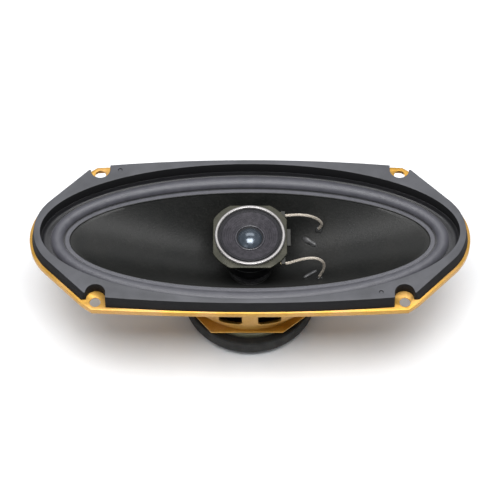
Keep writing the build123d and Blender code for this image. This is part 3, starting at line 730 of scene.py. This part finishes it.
recess = tuple(edge + 0.5 for edge in outer_edge)
middle = tuple((edge + start) / 2 for edge, start in zip(outer_edge, foot))
top = [
    (*recess, -0.06), inset(recess, 0.35, 0.35, -0.1),
    inset(outer_edge, 0.5, 0.4, flat_low + 1.5), inset(outer_edge, 1.2, 0.75, flat_low + 0.8),
    (*middle, flat_low + cloth),
]
top += roll_sections(roll, flat_low + cloth)
top += [inset(inner_foot, 1.6, 1.5, flat_low + cloth), (*cone_mouth, flat_low + cloth)]
under = [(*cone_mouth, flat_low), inset(inner_foot, 1.6, 1.5, flat_low)]
under += roll_sections(roll - cloth, flat_low)[::-1]
under += [(*middle, flat_low), (*recess, flat_low)]
sections = top + under
steps_round = 360
surround = place_piece(
    "surround_roll", hoop(sections, steps_round, guide=crest), None, ["surround"], "surround_cloth"
)
share_motion(surround)
print("surround", len(surround.data.polygons), "faces, rise", round(rise, 2), "mm")

# %% [markdown]
# ## Cone
#
# The cone runs from the round voice coil to an oval mouth. Joining a circle
# to an oval point by point gives the slightly twisted wall of a pressed
# pulp cone. A bead of glue seals it to the surround.

# %% Paper cone and its glue lines
neck_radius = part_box("voice_coil_former")[1].x / MM
neck_low, mouth_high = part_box("cone")[0].z / MM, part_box("cone")[1].z / MM
pulp, neck_pulp = 0.8, 0.48     # thickness of the paper, level and upright
neck_high = neck_low + neck_pulp


def wall(shift_out, drop, points=26):
    """Ovals up the wall of the cone, moved outwards and down."""
    return [
        (
            neck_radius + shift_out + (cone_mouth[0] - neck_radius) * t,
            neck_radius + shift_out + (cone_mouth[1] - neck_radius) * t,
            neck_high - drop + (mouth_high - neck_high) * t,
        )
        for t in np.linspace(0, 1, points)
    ]


lip = tuple(size - 0.05 for size in inner_foot)


def in_the_flat(section):
    """True for an oval that would stand inside the cone's flat edge."""
    between = cone_mouth[0] + 0.5 < section[0] < lip[0] - 0.1
    return between and section[2] > mouth_high - pulp + 0.01


sections = wall(0, 0) + [(*lip, mouth_high), (*lip, mouth_high - pulp)]
sections += wall(pulp, neck_pulp)[::-1]
skin = hoop([s for s in sections if not in_the_flat(s)], 300, guide=(80, 30))
place_piece("paper_cone", skin, "cone_assembly", ["cone"], "cone_paper")


def bead(half_length, half_width, height, thickness):
    """A thin round bead along an oval."""
    return [
        (
            half_length + thickness * math.cos(t), half_width + thickness * math.cos(t),
            height + thickness * math.sin(t),
        )
        for t in np.linspace(0, 2 * math.pi, 9)[:-1]
    ]


edge_line = bead(cone_mouth[0] - 0.1, cone_mouth[1] - 0.1, flat_low + 0.25, 0.4)
neck_line = bead(neck_radius - 0.2, neck_radius - 0.2, neck_high + 0.15, 0.55)
for name, line, steps in (
    ("cone_edge_glue", edge_line, steps_round), ("coil_neck_glue", neck_line, 96),
):
    place_piece(name, hoop(line, steps, smooth_angle=80), "cone_assembly", [], "cone_paper")
print("cone", round(neck_radius, 2), "mm neck,", [round(m, 1) for m in cone_mouth], "mm mouth")

# %% [markdown]
# ## Trees for what repeats
#
# Geometry Nodes make the corrugated spider, the rivets and the braided leads.
# This helper starts a tree with named inputs, and the next one runs it on an
# object and keeps the result as a plain mesh.


# %% Helpers for Geometry Nodes
def start_tree(name, **inputs):
    """A new tree with float inputs of the given default values."""
    tree = bpy.data.node_groups.new(name, "GeometryNodeTree")
    tree.interface.new_socket("Geometry", in_out="INPUT", socket_type="NodeSocketGeometry")
    tree.interface.new_socket("Geometry", in_out="OUTPUT", socket_type="NodeSocketGeometry")
    for label, value in inputs.items():
        socket = tree.interface.new_socket(label.replace("_", " "), in_out="INPUT", socket_type="NodeSocketFloat")
        socket.default_value = value
    return tree, tree.nodes.new("NodeGroupInput"), tree.nodes.new("NodeGroupOutput")


def calculate(tree, operation, a, b=0.0):
    """A math node in a tree, on sockets or numbers."""
    node = add_node(tree, "ShaderNodeMath", operation=operation)
    for index, value in enumerate((a, b)):
        if isinstance(value, bpy.types.NodeSocket):
            tree.links.new(value, node.inputs[index])
        else:
            node.inputs[index].default_value = value
    return node.outputs[0]


def end_tree(tree, geometry, finish_slot, finish_node):
    """Smooth, real geometry with its finish set."""
    smooth = add_node(tree, "GeometryNodeSetShadeSmooth", {"Geometry": geometry}).outputs[0]
    real = add_node(tree, "GeometryNodeRealizeInstances", {"Geometry": smooth}).outputs[0]
    finish = {"Geometry": real, "Material": finishes[finish_slot]}
    painted = add_node(tree, "GeometryNodeSetMaterial", finish).outputs[0]
    tree.links.new(painted, finish_node.inputs[0])


def grow(carrier, tree, **values):
    """Runs a tree on an object with its inputs set, and returns a plain mesh."""
    modifier = carrier.modifiers.new("grow", "NODES")
    modifier.node_group = tree
    sockets = [item for item in tree.interface.items_tree if item.in_out == "INPUT"]
    identifiers = {socket.name: socket.identifier for socket in sockets}
    for label, value in values.items():
        modifier[identifiers[label.replace("_", " ")]] = value
    mesh = evaluated_mesh(carrier)
    carrier.modifiers.remove(modifier)
    return mesh


def empty_carrier(points=()):
    """An object that holds bare points for a tree to work on."""
    mesh = bpy.data.meshes.new("carrier")
    mesh.from_pydata([Vector(p) for p in points], [], [])
    carrier = bpy.data.objects.new("carrier", mesh)
    bpy.context.scene.collection.objects.link(carrier)
    return carrier


# %% [markdown]
# ## Spider
#
# The spider is a flat disc of resin-stiffened cloth with round corrugations.
# The tree bends a flat grid into a disc, lifts it by a sine of the radius,
# and welds the seam. Solidify then gives the cloth its thickness.

# %% Corrugated spider
def unit_grid(tree, across, round_steps):
    """A flat grid of side 1 in a tree, and its two coordinates from 0 to 1."""
    counts = {"Size X": 1.0, "Size Y": 1.0, "Vertices X": across, "Vertices Y": round_steps}
    grid = add_node(tree, "GeometryNodeMeshGrid", counts)
    position = add_node(tree, "GeometryNodeInputPosition").outputs[0]
    place = add_node(tree, "ShaderNodeSeparateXYZ", {"Vector": position})
    shares = [calculate(tree, "ADD", place.outputs[axis], 0.5) for axis in "XY"]
    return grid.outputs["Mesh"], *shares


tree, start, end = start_tree(
    "corrugated_disc", Inner_Radius=0.013, Outer_Radius=0.03, Height=-0.044, Pitch=0.0042,
    Wave=0.0012, Flat=0.002,
)
grid, across, round_share = unit_grid(tree, 73, 193)
turn = calculate(tree, "MULTIPLY", round_share, 2 * math.pi)
inner, outer, height, pitch, wave, flat = (start.outputs[i] for i in range(1, 7))
width = calculate(tree, "SUBTRACT", outer, inner)
radius = calculate(tree, "ADD", inner, calculate(tree, "MULTIPLY", across, width))
inside = calculate(tree, "SUBTRACT", calculate(tree, "SUBTRACT", radius, inner), flat)
rim = calculate(tree, "MULTIPLY", flat, 1.8)
outside = calculate(tree, "SUBTRACT", calculate(tree, "SUBTRACT", outer, radius), rim)
nearest = calculate(tree, "MINIMUM", inside, outside)
run_in = calculate(tree, "MULTIPLY", pitch, 0.3)
fade = calculate(tree, "DIVIDE", calculate(tree, "MAXIMUM", nearest, 0.0), run_in)
envelope = calculate(tree, "MINIMUM", fade, 1.0)
phase = calculate(tree, "MULTIPLY", calculate(tree, "DIVIDE", inside, pitch), -2 * math.pi)
full_wave = calculate(tree, "MULTIPLY", calculate(tree, "SINE", phase), wave)
ripple = calculate(tree, "MULTIPLY", full_wave, envelope)
bent = add_node(
    tree, "ShaderNodeCombineXYZ",
    {
        "X": calculate(tree, "MULTIPLY", radius, calculate(tree, "COSINE", turn)),
        "Y": calculate(tree, "MULTIPLY", radius, calculate(tree, "SINE", turn)),
        "Z": calculate(tree, "ADD", height, ripple),
    },
)
disc = add_node(tree, "GeometryNodeSetPosition", {"Geometry": grid, "Position": bent.outputs[0]})
welded = add_node(
    tree, "GeometryNodeMergeByDistance", {"Geometry": disc.outputs[0], "Distance": 1e-6}
)
end_tree(tree, welded.outputs[0], "spider_cloth", end)

spider_low, spider_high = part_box("spider")
spider_middle = (spider_low.z + spider_high.z) / 2
carrier = empty_carrier()
carrier.data = grow(
    carrier, tree, Inner_Radius=neck_radius * MM, Outer_Radius=spider_high.x - 0.0001,
    Height=spider_middle, Wave=(spider_high.z - spider_low.z) / 2 - 0.0004,
)
sheet = carrier.modifiers.new("cloth", "SOLIDIFY")
sheet.thickness, sheet.offset = 0.5 * MM, 0
shape = bmesh.new()
shape.from_mesh(evaluated_mesh(carrier))
bpy.data.objects.remove(carrier)
spider = place_piece("corrugated_spider", finished_mesh(shape, 60), None, ["spider"], "spider_cloth")
reach = np.array([math.hypot(v.co.x, v.co.y) for v in spider.data.vertices])
share_motion(spider)
print("spider", len(spider.data.polygons), "faces")

# %% [markdown]
# ## Rivets
#
# Four rivets hold the basket's floor to the motor's top plate. One tree sets
# a shank and a domed head on each point, turned to a direction, so a row of
# rivets is one list of points.

# %% Rivets
def rivet_tree(name, finish_slot):
    """Sets a turned rivet on every point, its head along the given direction."""
    tree, start, end = start_tree(
        name, Head_Radius=0.0022, Head_Height=0.001, Shank_Radius=0.0015, Shank_Length=0.005,
        Tilt=0.0,
    )
    head, height, shank, length, tilt = (start.outputs[i] for i in range(1, 6))
    grid, along, round_share = unit_grid(tree, 13, 37)
    turn = calculate(tree, "MULTIPLY", round_share, 2 * math.pi)
    radius_curve = add_node(tree, "ShaderNodeFloatCurve", {"Value": along})
    height_curve = add_node(tree, "ShaderNodeFloatCurve", {"Value": along})
    for node, stops in (
        (
            radius_curve,
            [(0, 0), (0.2, 0.5), (0.4, 0.86), (0.5, 1), (0.58, 1), (0.7, 1), (0.72, 1), (1, 1)],
        ),
        (height_curve, [(0, 1), (0.2, 0.93), (0.4, 0.62), (0.5, 0.3), (0.58, 0.0), (1, 0)]),
    ):
        points = node.mapping.curves[0].points
        while len(points) < len(stops):
            points.new(0.5, 0.5)
        for point, (x, y) in zip(points, stops):
            point.location = (x, y)
            point.handle_type = "VECTOR"
        node.mapping.update()
    head_end, shank_foot, tail_centre = 0.6, 0.79, 0.95
    under = calculate(tree, "GREATER_THAN", along, head_end)
    tail = calculate(tree, "GREATER_THAN", along, shank_foot)
    cap = calculate(tree, "GREATER_THAN", along, tail_centre)
    top_radius = calculate(tree, "MULTIPLY", head, radius_curve.outputs[0])
    lower_radius = calculate(tree, "MULTIPLY", shank, calculate(tree, "SUBTRACT", 1.0, cap))
    keep_top = calculate(tree, "MULTIPLY", top_radius, calculate(tree, "SUBTRACT", 1.0, under))
    radius = calculate(tree, "ADD", keep_top, calculate(tree, "MULTIPLY", lower_radius, under))
    drop = calculate(tree, "MULTIPLY", calculate(tree, "MULTIPLY", length, tail), -1.0)
    level = calculate(tree, "ADD", calculate(tree, "MULTIPLY", height, height_curve.outputs[0]), drop)
    bent = add_node(
        tree, "ShaderNodeCombineXYZ",
        {
            "X": calculate(tree, "MULTIPLY", radius, calculate(tree, "COSINE", turn)),
            "Y": calculate(tree, "MULTIPLY", radius, calculate(tree, "SINE", turn)),
            "Z": level,
        },
    )
    turned = add_node(
        tree, "GeometryNodeSetPosition", {"Geometry": grid, "Position": bent.outputs[0]}
    )
    welded = add_node(
        tree, "GeometryNodeMergeByDistance", {"Geometry": turned.outputs[0], "Distance": 1e-6}
    )
    lean = add_node(tree, "ShaderNodeCombineXYZ", {"Y": tilt})
    rows = add_node(
        tree, "GeometryNodeInstanceOnPoints",
        {"Points": start.outputs[0], "Instance": welded.outputs[0], "Rotation": lean.outputs[0]},
    )
    end_tree(tree, rows.outputs[0], finish_slot, end)
    return tree


def rivet_row(name, nodes, centres, tilt, sizes):
    """A row of rivets at the given places, as one plain piece."""
    carrier = empty_carrier(centres)
    mesh = grow(carrier, rivet_tree(name, "rivet_steel"), Tilt=tilt, **sizes)
    bpy.data.objects.remove(carrier)
    shape = bmesh.new()
    shape.from_mesh(mesh)
    piece = place_piece(name, finished_mesh(shape, 50), "frame", nodes, "rivet_steel")
    print(name, len(piece.data.polygons), "faces")


seat_rivets = [f"seat_rivet_{number}" for number in range(1, 5)]
corners = [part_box(node) for node in seat_rivets]
floor_steel, shank_radius = 1.2 * MM, 1.5 * MM
seat_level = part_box("basket")[0].z + floor_steel
centres = [((lo.x + hi.x) / 2, (lo.y + hi.y) / 2, seat_level) for lo, hi in corners]
rivet_row(
    "seat_rivets", seat_rivets, centres, 0.0,
    {
        "Head_Radius": (corners[0][1].x - corners[0][0].x) / 2,
        "Head_Height": corners[0][1].z - seat_level,
        "Shank_Radius": shank_radius, "Shank_Length": seat_level - corners[0][0].z,
    },
)

# %% [markdown]
# ## Braided leads
#
# Tinsel leads are loose tubes of fine tinned braid, soft enough to follow the
# cone. Each route is one smooth curve. The tree lays strands round it in two
# directions, and a darker core shows between them. Each lead is soldered at
# both ends.

# %% Trees for a braided lead and its core
def tube_along(tree, line, sides, radius):
    """A capped tube of this many sides along a curve in a tree."""
    circle = {"Resolution": sides, "Radius": radius}
    section = add_node(tree, "GeometryNodeCurvePrimitiveCircle", circle).outputs[0]
    sweep = {"Curve": line, "Profile Curve": section, "Fill Caps": True}
    return add_node(tree, "GeometryNodeCurveToMesh", sweep).outputs[0]


strands = 5
tree, start, end = start_tree(
    "braided_lead", Braid_Radius=0.00062, Strand_Radius=0.00024, Twist=22.0, Direction=1.0
)
braid_radius, strand_radius, twist, direction = (start.outputs[i] for i in range(1, 5))
even = add_node(tree, "GeometryNodeResampleCurve", {"Curve": start.outputs[0], "Count": 110})
copies = add_node(
    tree, "GeometryNodeDuplicateElements", {"Geometry": even.outputs[0], "Amount": strands},
    domain="SPLINE",
)
along = add_node(tree, "GeometryNodeSplineParameter").outputs["Factor"]
tangent = add_node(tree, "GeometryNodeInputTangent").outputs[0]
sideways = add_node(
    tree, "ShaderNodeVectorMath", {0: tangent, 1: (0, 1, 0)}, operation="CROSS_PRODUCT"
).outputs[0]
first = add_node(tree, "ShaderNodeVectorMath", {0: sideways}, operation="NORMALIZE").outputs[0]
second = add_node(
    tree, "ShaderNodeVectorMath", {0: tangent, 1: first}, operation="CROSS_PRODUCT"
).outputs[0]
spacing = calculate(tree, "MULTIPLY", copies.outputs["Duplicate Index"], 2 * math.pi / strands)
winding = calculate(tree, "MULTIPLY", calculate(tree, "MULTIPLY", along, twist), direction)
phase = calculate(tree, "ADD", spacing, winding)
shifts = []
for wave_kind, axis in (("COSINE", first), ("SINE", second)):
    amount = calculate(tree, "MULTIPLY", calculate(tree, wave_kind, phase), braid_radius)
    scaled = add_node(tree, "ShaderNodeVectorMath", {0: axis}, operation="SCALE")
    tree.links.new(amount, scaled.inputs["Scale"])
    shifts.append(scaled.outputs[0])
offset = add_node(tree, "ShaderNodeVectorMath", {0: shifts[0], 1: shifts[1]}, operation="ADD")
wound = add_node(
    tree, "GeometryNodeSetPosition", {"Geometry": copies.outputs[0], "Offset": offset.outputs[0]}
)
end_tree(tree, tube_along(tree, wound.outputs[0], 6, strand_radius), "tinsel_braid", end)
lead_tree = tree

tree, start, end = start_tree("lead_core", Core_Radius=0.00055)
even = add_node(tree, "GeometryNodeResampleCurve", {"Curve": start.outputs[0], "Count": 60})
end_tree(tree, tube_along(tree, even.outputs[0], 8, start.outputs[1]), "tinsel_braid", end)
core_tree = tree
print("lead trees", len(lead_tree.nodes), "and", len(core_tree.nodes), "nodes")

# %% [markdown]
# ### Routes of the four leads
#
# Two leads leave the tweeter's lugs, arch over the cone and dive into it. Two
# more come from the terminal board behind the cone to the same two places.
# Each route has slack in its curve, because a lead has to flex without end.

# %% The four leads
def smooth_route(points):
    """One NURBS curve through a lead's control points, given in millimetres."""
    curve = bpy.data.curves.new("route", "CURVE")
    curve.dimensions = "3D"
    spline = curve.splines.new("NURBS")
    spline.points.add(len(points) - 1)
    for point, place in zip(spline.points, points):
        point.co = (*(Vector(place) * MM), 1)
    spline.order_u = 3
    spline.use_endpoint_u = True
    spline.resolution_u = 16
    route = bpy.data.objects.new("route", curve)
    bpy.context.scene.collection.objects.link(route)
    return route


winding_length = 0.0018     # metres of lead in which the braid winds by one radian


def braided_lead(name, node, points):
    """A braided lead along a smooth route through the given points, in millimetres."""
    route = smooth_route(points)
    centre = np.array([v.co for v in evaluated_mesh(route).vertices])
    steps = np.linalg.norm(np.diff(centre, axis=0), axis=1)
    travelled = np.concatenate([[0], np.cumsum(steps)])
    length = travelled[-1]
    shape = bmesh.new()
    for direction in (1.0, -1.0):
        shape.from_mesh(grow(route, lead_tree, Direction=direction, Twist=length / winding_length))
    shape.from_mesh(grow(route, core_tree))
    bpy.data.objects.remove(route)
    mesh = finished_mesh(shape, 70)
    piece = place_piece(name, mesh, None, [node], "tinsel_braid")
    share_motion(piece)
    print(name, len(mesh.polygons), "faces,", round(length / MM, 1), "mm long")


lead_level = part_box("tweeter_lug_rear")[0].z / MM - 0.9
routes = {
    "tweeter_lead_rear": [
        (18.6, 17.0, lead_level), (22.2, 17.0, lead_level), (28.6, 17.0, -1.2),
        (35.7, 17.0, -2.4), (40.4, 17.0, -5.7), (43.4, 17.0, -10.2), (43.0, 17.0, -14.0),
        (41.6, 17.0, -16.9),
    ],
    "tweeter_lead_front": [
        (18.6, -17.0, lead_level), (22.4, -17.0, lead_level), (26.8, -17.0, 0.5),
        (32.2, -17.0, 3.2), (38.2, -17.0, 4.1), (42.6, -17.0, 1.0), (44.2, -17.0, -4.4),
        (43.4, -17.0, -10.6), (41.4, -17.0, -16.9),
    ],
}
for side, across in (("rear", 1), ("front", -1)):
    routes[f"woofer_lead_{side}"] = [
        (66.0, across * 11.0, -30.7), (58.5, across * 12.3, -32.0), (49.6, across * 14.2, -30.0),
        (43.0, across * 16.0, -25.0), (42.0, across * 16.4, -20.6),
    ]
for node, points in routes.items():
    braided_lead(f"{node}_braid", node, points)

# %% [markdown]
# ## Turned pieces of the tweeter
#
# The tweeter is a stack of round parts: a bright trim ring, a paper cone with
# pressed ribs, its own small edge roll, a film dome and a tapered housing.
# Each is one section carried round the axis, with its corners rounded as a
# tool or a mould leaves them.


# %% Helpers for turned pieces
def ring_sizes(node):
    """Inner and outer radius, low and high face of a round CAD node, in millimetres."""
    places = np.array([v.co for v in frame["nodes"][node].data.vertices]) / MM
    radii = np.hypot(places[:, 0], places[:, 1])
    return radii.min(), radii.max(), places[:, 2].min(), places[:, 2].max()


def turned(sections, steps, **settings):
    """A turned skin through (radius, height) pairs."""
    return hoop([(radius, radius, height) for radius, height in sections], steps, **settings)


def rounded_section(inner, outer, low, high, edge, points=4):
    """A ring's section with its four corners rounded."""
    section = []
    for radius, height, first in (
        (outer - edge, high - edge, 0), (inner + edge, high - edge, 90), (inner + edge, low + edge, 180),
        (outer - edge, low + edge, 270),
    ):
        for turn in np.radians(np.linspace(first, first + 90, points)):
            section.append((radius + edge * math.cos(turn), height + edge * math.sin(turn)))
    return section


# %% [markdown]
# ### Ring, cone, edge, dome and can of the tweeter
#
# The ribs stiffen the small cone without adding weight, and they fade out at
# its neck and its edge, where glue needs a plain face. The dome is part of a
# ball. The can has one shallow groove where its mould parts.

# %% Trim ring, tweeter cone, edge roll, dome and can
inner, outer, low, high = ring_sizes("tweeter_trim_ring")
place_piece(
    "trim_ring_turned",
    turned(rounded_section(inner, outer, low, high, 0.7, points=7), 160, smooth_angle=60),
    "frame", ["tweeter_trim_ring"], "ring_metal",
)

inner, outer, low, high = ring_sizes("tweeter_cone")
paper, rib = 0.4, 0.09
stations = np.linspace(inner, outer, 57)
slope = (high - low - paper) / (outer - inner)
fade = np.minimum(1, np.minimum(stations - inner, outer - stations))
ribs = rib * np.sin((stations - inner) * 2 * math.pi / rib_pitch) * fade
upper = [(r, low + paper + (r - inner) * slope + wave) for r, wave in zip(stations, ribs)]
lower = [(r, z - paper) for r, z in reversed(upper)]
place_piece(
    "ribbed_tweeter_cone", turned(upper + lower, 144, smooth_angle=60), "tweeter_diaphragm",
    ["tweeter_cone"], "tweeter_paper",
)
cone_top = high

inner, outer, low, high = ring_sizes("tweeter_surround")
film = 0.35
roll_foot = inner + 1.5
middle_radius, half_width = (inner + roll_foot) / 2, (roll_foot - inner) / 2
roll_base, flat_top = cone_top - film, low + 0.4
upper = [(inner, cone_top)] + [
    (middle_radius + half_width * math.cos(t), roll_base + (high - roll_base) * math.sin(t) ** 0.8)
    for t in np.linspace(math.pi, 0, 9)[1:-1]
]
upper += [(roll_foot, flat_top), (outer, flat_top)]
lower = [(outer, low), (roll_foot - 0.2, low)]
lower += [(r - 0.02, z - film) for r, z in reversed(upper[1:-2])] + [(inner, cone_top - paper)]
edge_roll = place_piece(
    "tweeter_edge_roll", turned(upper + lower, 144, smooth_angle=70), None,
    ["tweeter_surround"], "tweeter_paper",
)
reach = np.array([math.hypot(v.co.x, v.co.y) for v in edge_roll.data.vertices]) / MM
share_motion(edge_roll)

inner, outer, low, high = ring_sizes("tweeter_dome")
film = 0.4
ball = (outer**2 + (high - low) ** 2) / (2 * (high - low))
sweep_angle = math.asin(outer / ball)


def cap(radius, points=22):
    """Places on a ball from its top to the dome's rim."""
    return [
        (radius * math.sin(t), high - ball + radius * math.cos(t))
        for t in np.linspace(0, sweep_angle, points)
    ]


dome = cap(ball) + cap(ball - film)[::-1]
dome[0], dome[-1] = (0, dome[0][1]), (0, dome[-1][1])
place_piece(
    "dome_cap", turned(dome, 96, closed=False, smooth_angle=60), "tweeter_diaphragm",
    ["tweeter_dome"], "dome_film",
)
foot_line = [(r, z) for r, _, z in bead(outer + 1.25, outer + 1.25, low + 0.45, 0.5)]
place_piece(
    "dome_foot_cement", turned(foot_line, 96, smooth_angle=80), "tweeter_diaphragm", [],
    "tweeter_paper", lacquer,
)

inner, outer, low, high = ring_sizes("tweeter_housing")
can_floor, can_wall, draft = 1.4, 2.9, 0.15
groove_levels, groove_depth = (8.6, 8.8, 9.4, 9.6), 0.25
foot_radius = outer - draft


def can_side(height):
    """Radius of the can's outside, which widens a little towards its mouth."""
    return foot_radius + (outer - foot_radius) * (height - low) / (high - low)


above, groove_low, groove_high, below = (low + level for level in groove_levels)
housing = [
    (0, low), (foot_radius - 1.4, low), (foot_radius - 0.5, low + 0.3), (foot_radius, low + 1.2),
    (can_side(low + 3.0), low + 3.0), (can_side(above), above),
    (can_side(groove_low) - groove_depth, groove_low),
    (can_side(groove_high) - groove_depth, groove_high), (can_side(below), below),
    (can_side(high - 0.5), high - 0.5), (outer - 0.15, high - 0.05), (outer - 0.5, high - 0.2),
    (outer - can_wall, high - 2.75), (outer - can_wall, low + can_floor), (0, low + can_floor),
]
place_piece(
    "tweeter_can", turned(housing, 144, closed=False, smooth_angle=35), "frame",
    ["tweeter_housing"], "housing_plastic",
)
print("tweeter: ring, cone, roll, dome and can, top at", round(high, 2), "mm")

# %% [markdown]
# ## Rings of the voice coil
#
# The former is a thin tube of film, and the winding is one layer of round
# wire, so its outside is a row of small half rounds. Felt closes the gap
# round the post, and a fibre ring lifts the spider off the basket's floor.

# %% Voice coil, felt and spacer
inner, outer, low, high = ring_sizes("voice_coil_former")
place_piece(
    "former_tube", turned(rounded_section(inner, outer, low, high, 0.08, points=3), 120),
    "cone_assembly", ["voice_coil_former"], "coil_form",
)
inner, outer, low, high = ring_sizes("voice_coil_winding")
wire = 0.3
turn_count = int((high - low) / wire)
half_wire = wire / 2
strand_row = []
for number in range(turn_count):
    centre = high - wire * (number + 0.5)
    strand_row += [
        (outer - half_wire + half_wire * math.sin(t), centre + half_wire * math.cos(t))
        for t in np.radians((25, 65, 115, 155))
    ]
place_piece(
    "wire_winding", turned([(inner, high)] + strand_row + [(inner, low)], 120, smooth_angle=80),
    "cone_assembly", ["voice_coil_winding"], "copper_wire",
)
for name, node, body, edge in (
    ("felt_washer", "dust_felt_ring", "cone_assembly", 0.6),
    ("spider_lift_ring", "spider_spacer_ring", "frame", 0.4),
):
    skin = turned(rounded_section(*ring_sizes(node), edge), 120)
    place_piece(name, skin, body, [node], slot_of[node])
print("winding of", turn_count, "turns")

# %% [markdown]
# ## Glue, solder and cement
#
# Glue is laid by hand, so a bead swells and thins along its length. Each blob
# follows a short line on the cone, and its sections are low domes whose width
# comes from a sine with a little wobble.


# %% Helpers for blobs
def cone_level(x, y):
    """Height of the cone's inner face at a place, in millimetres."""
    low_share, high_share = 0.0, 1.0
    for _ in range(40):
        share = (low_share + high_share) / 2
        half_length = neck_radius + (cone_mouth[0] - neck_radius) * share
        half_width = neck_radius + (cone_mouth[1] - neck_radius) * share
        if (x / half_length) ** 2 + (y / half_width) ** 2 > 1:
            low_share = share
        else:
            high_share = share
    return neck_high + (mouth_high - neck_high) * share


def blob(start, end, width, height, surface, wobble=0.12, depth=0.3):
    """A low, closed bead of glue between two places on a surface."""
    start, end = np.array(start, float), np.array(end, float)
    line = end - start
    side = np.array([-line[1], line[0]]) / np.linalg.norm(line)
    shape = bmesh.new()
    rings = []
    stations = (1 - np.cos(np.linspace(0.25, math.pi - 0.25, 17))) / 2
    for t in stations:
        swell = math.sin(math.pi * t) ** 0.3 * (1 + wobble * math.sin(9.1 * t + 2 * width))
        ring = []
        drift = 0.25 * wobble * width * math.sin(5 * t)
        for turn in np.linspace(0, 2 * math.pi, 15)[:-1]:
            place = start + line * t + side * (width / 2 * swell * math.cos(turn) + drift)
            lift = math.sin(turn) * (height if math.sin(turn) > 0 else depth) * swell
            ring.append(shape.verts.new(Vector((*place, surface(*place) + lift)) * MM))
        rings.append(ring)
    for low_ring, high_ring in zip(rings, rings[1:]):
        for index in range(len(low_ring)):
            after = (index + 1) % len(low_ring)
            shape.faces.new([low_ring[index], low_ring[after], high_ring[after], high_ring[index]])
    for ring, t in ((rings[0], 0.0), (rings[-1], 1.0)):
        place = start + line * t
        tip = shape.verts.new(Vector((*place, surface(*place))) * MM)
        for index in range(len(ring)):
            shape.faces.new([ring[index], ring[(index + 1) % len(ring)], tip])
    return finished_mesh(shape, 80)


# %% [markdown]
# ### Where the glue and solder go
#
# One stroke of glue lies beside each lead. A dab of black cement holds each
# lead where it enters the cone, and solder joins its other end to the lug.

# %% Beads on the cone, cement dabs and solder joints
for side, across in (("rear", 1), ("front", -1)):
    low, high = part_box(f"glue_bead_{side}")
    ends = ((low.x / MM + 0.2, across * 14.2), (high.x / MM - 0.2, across * 8.8))
    place_piece(
        f"glue_run_{side}", blob(*ends, 2.8, 1.5, cone_level), "cone_assembly",
        [f"glue_bead_{side}"], "glue",
    )
    dab = blob((39.6, across * 17.0), (43.8, across * 16.9), 3.4, 1.0, cone_level)
    place_piece(f"lead_cement_{side}", dab, "cone_assembly", [], "glue", cement)
    under_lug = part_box(f"tweeter_lug_{side}")[0].z / MM - 0.9
    ends = ((17.8, across * 17.0), (21.2, across * 17.0))
    joint = blob(*ends, 2.3, 1.0, lambda x, y: under_lug, depth=1.0)
    place_piece(f"lug_solder_{side}", joint, "frame", [], "tinsel_braid", solder)
print("beads, dabs and joints laid")

# %% [markdown]
# ## Sizes
#
# Both boxes are printed, the CAD model's near the top and the finished one
# here, where they can be compared. The looks must stay inside the CAD
# model's box.

# %% Print the finished sizes
visual_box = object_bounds()
corners_mm = [round(c / MM, 1) for corner in visual_box for c in corner]
print("visual box in mm", corners_mm)
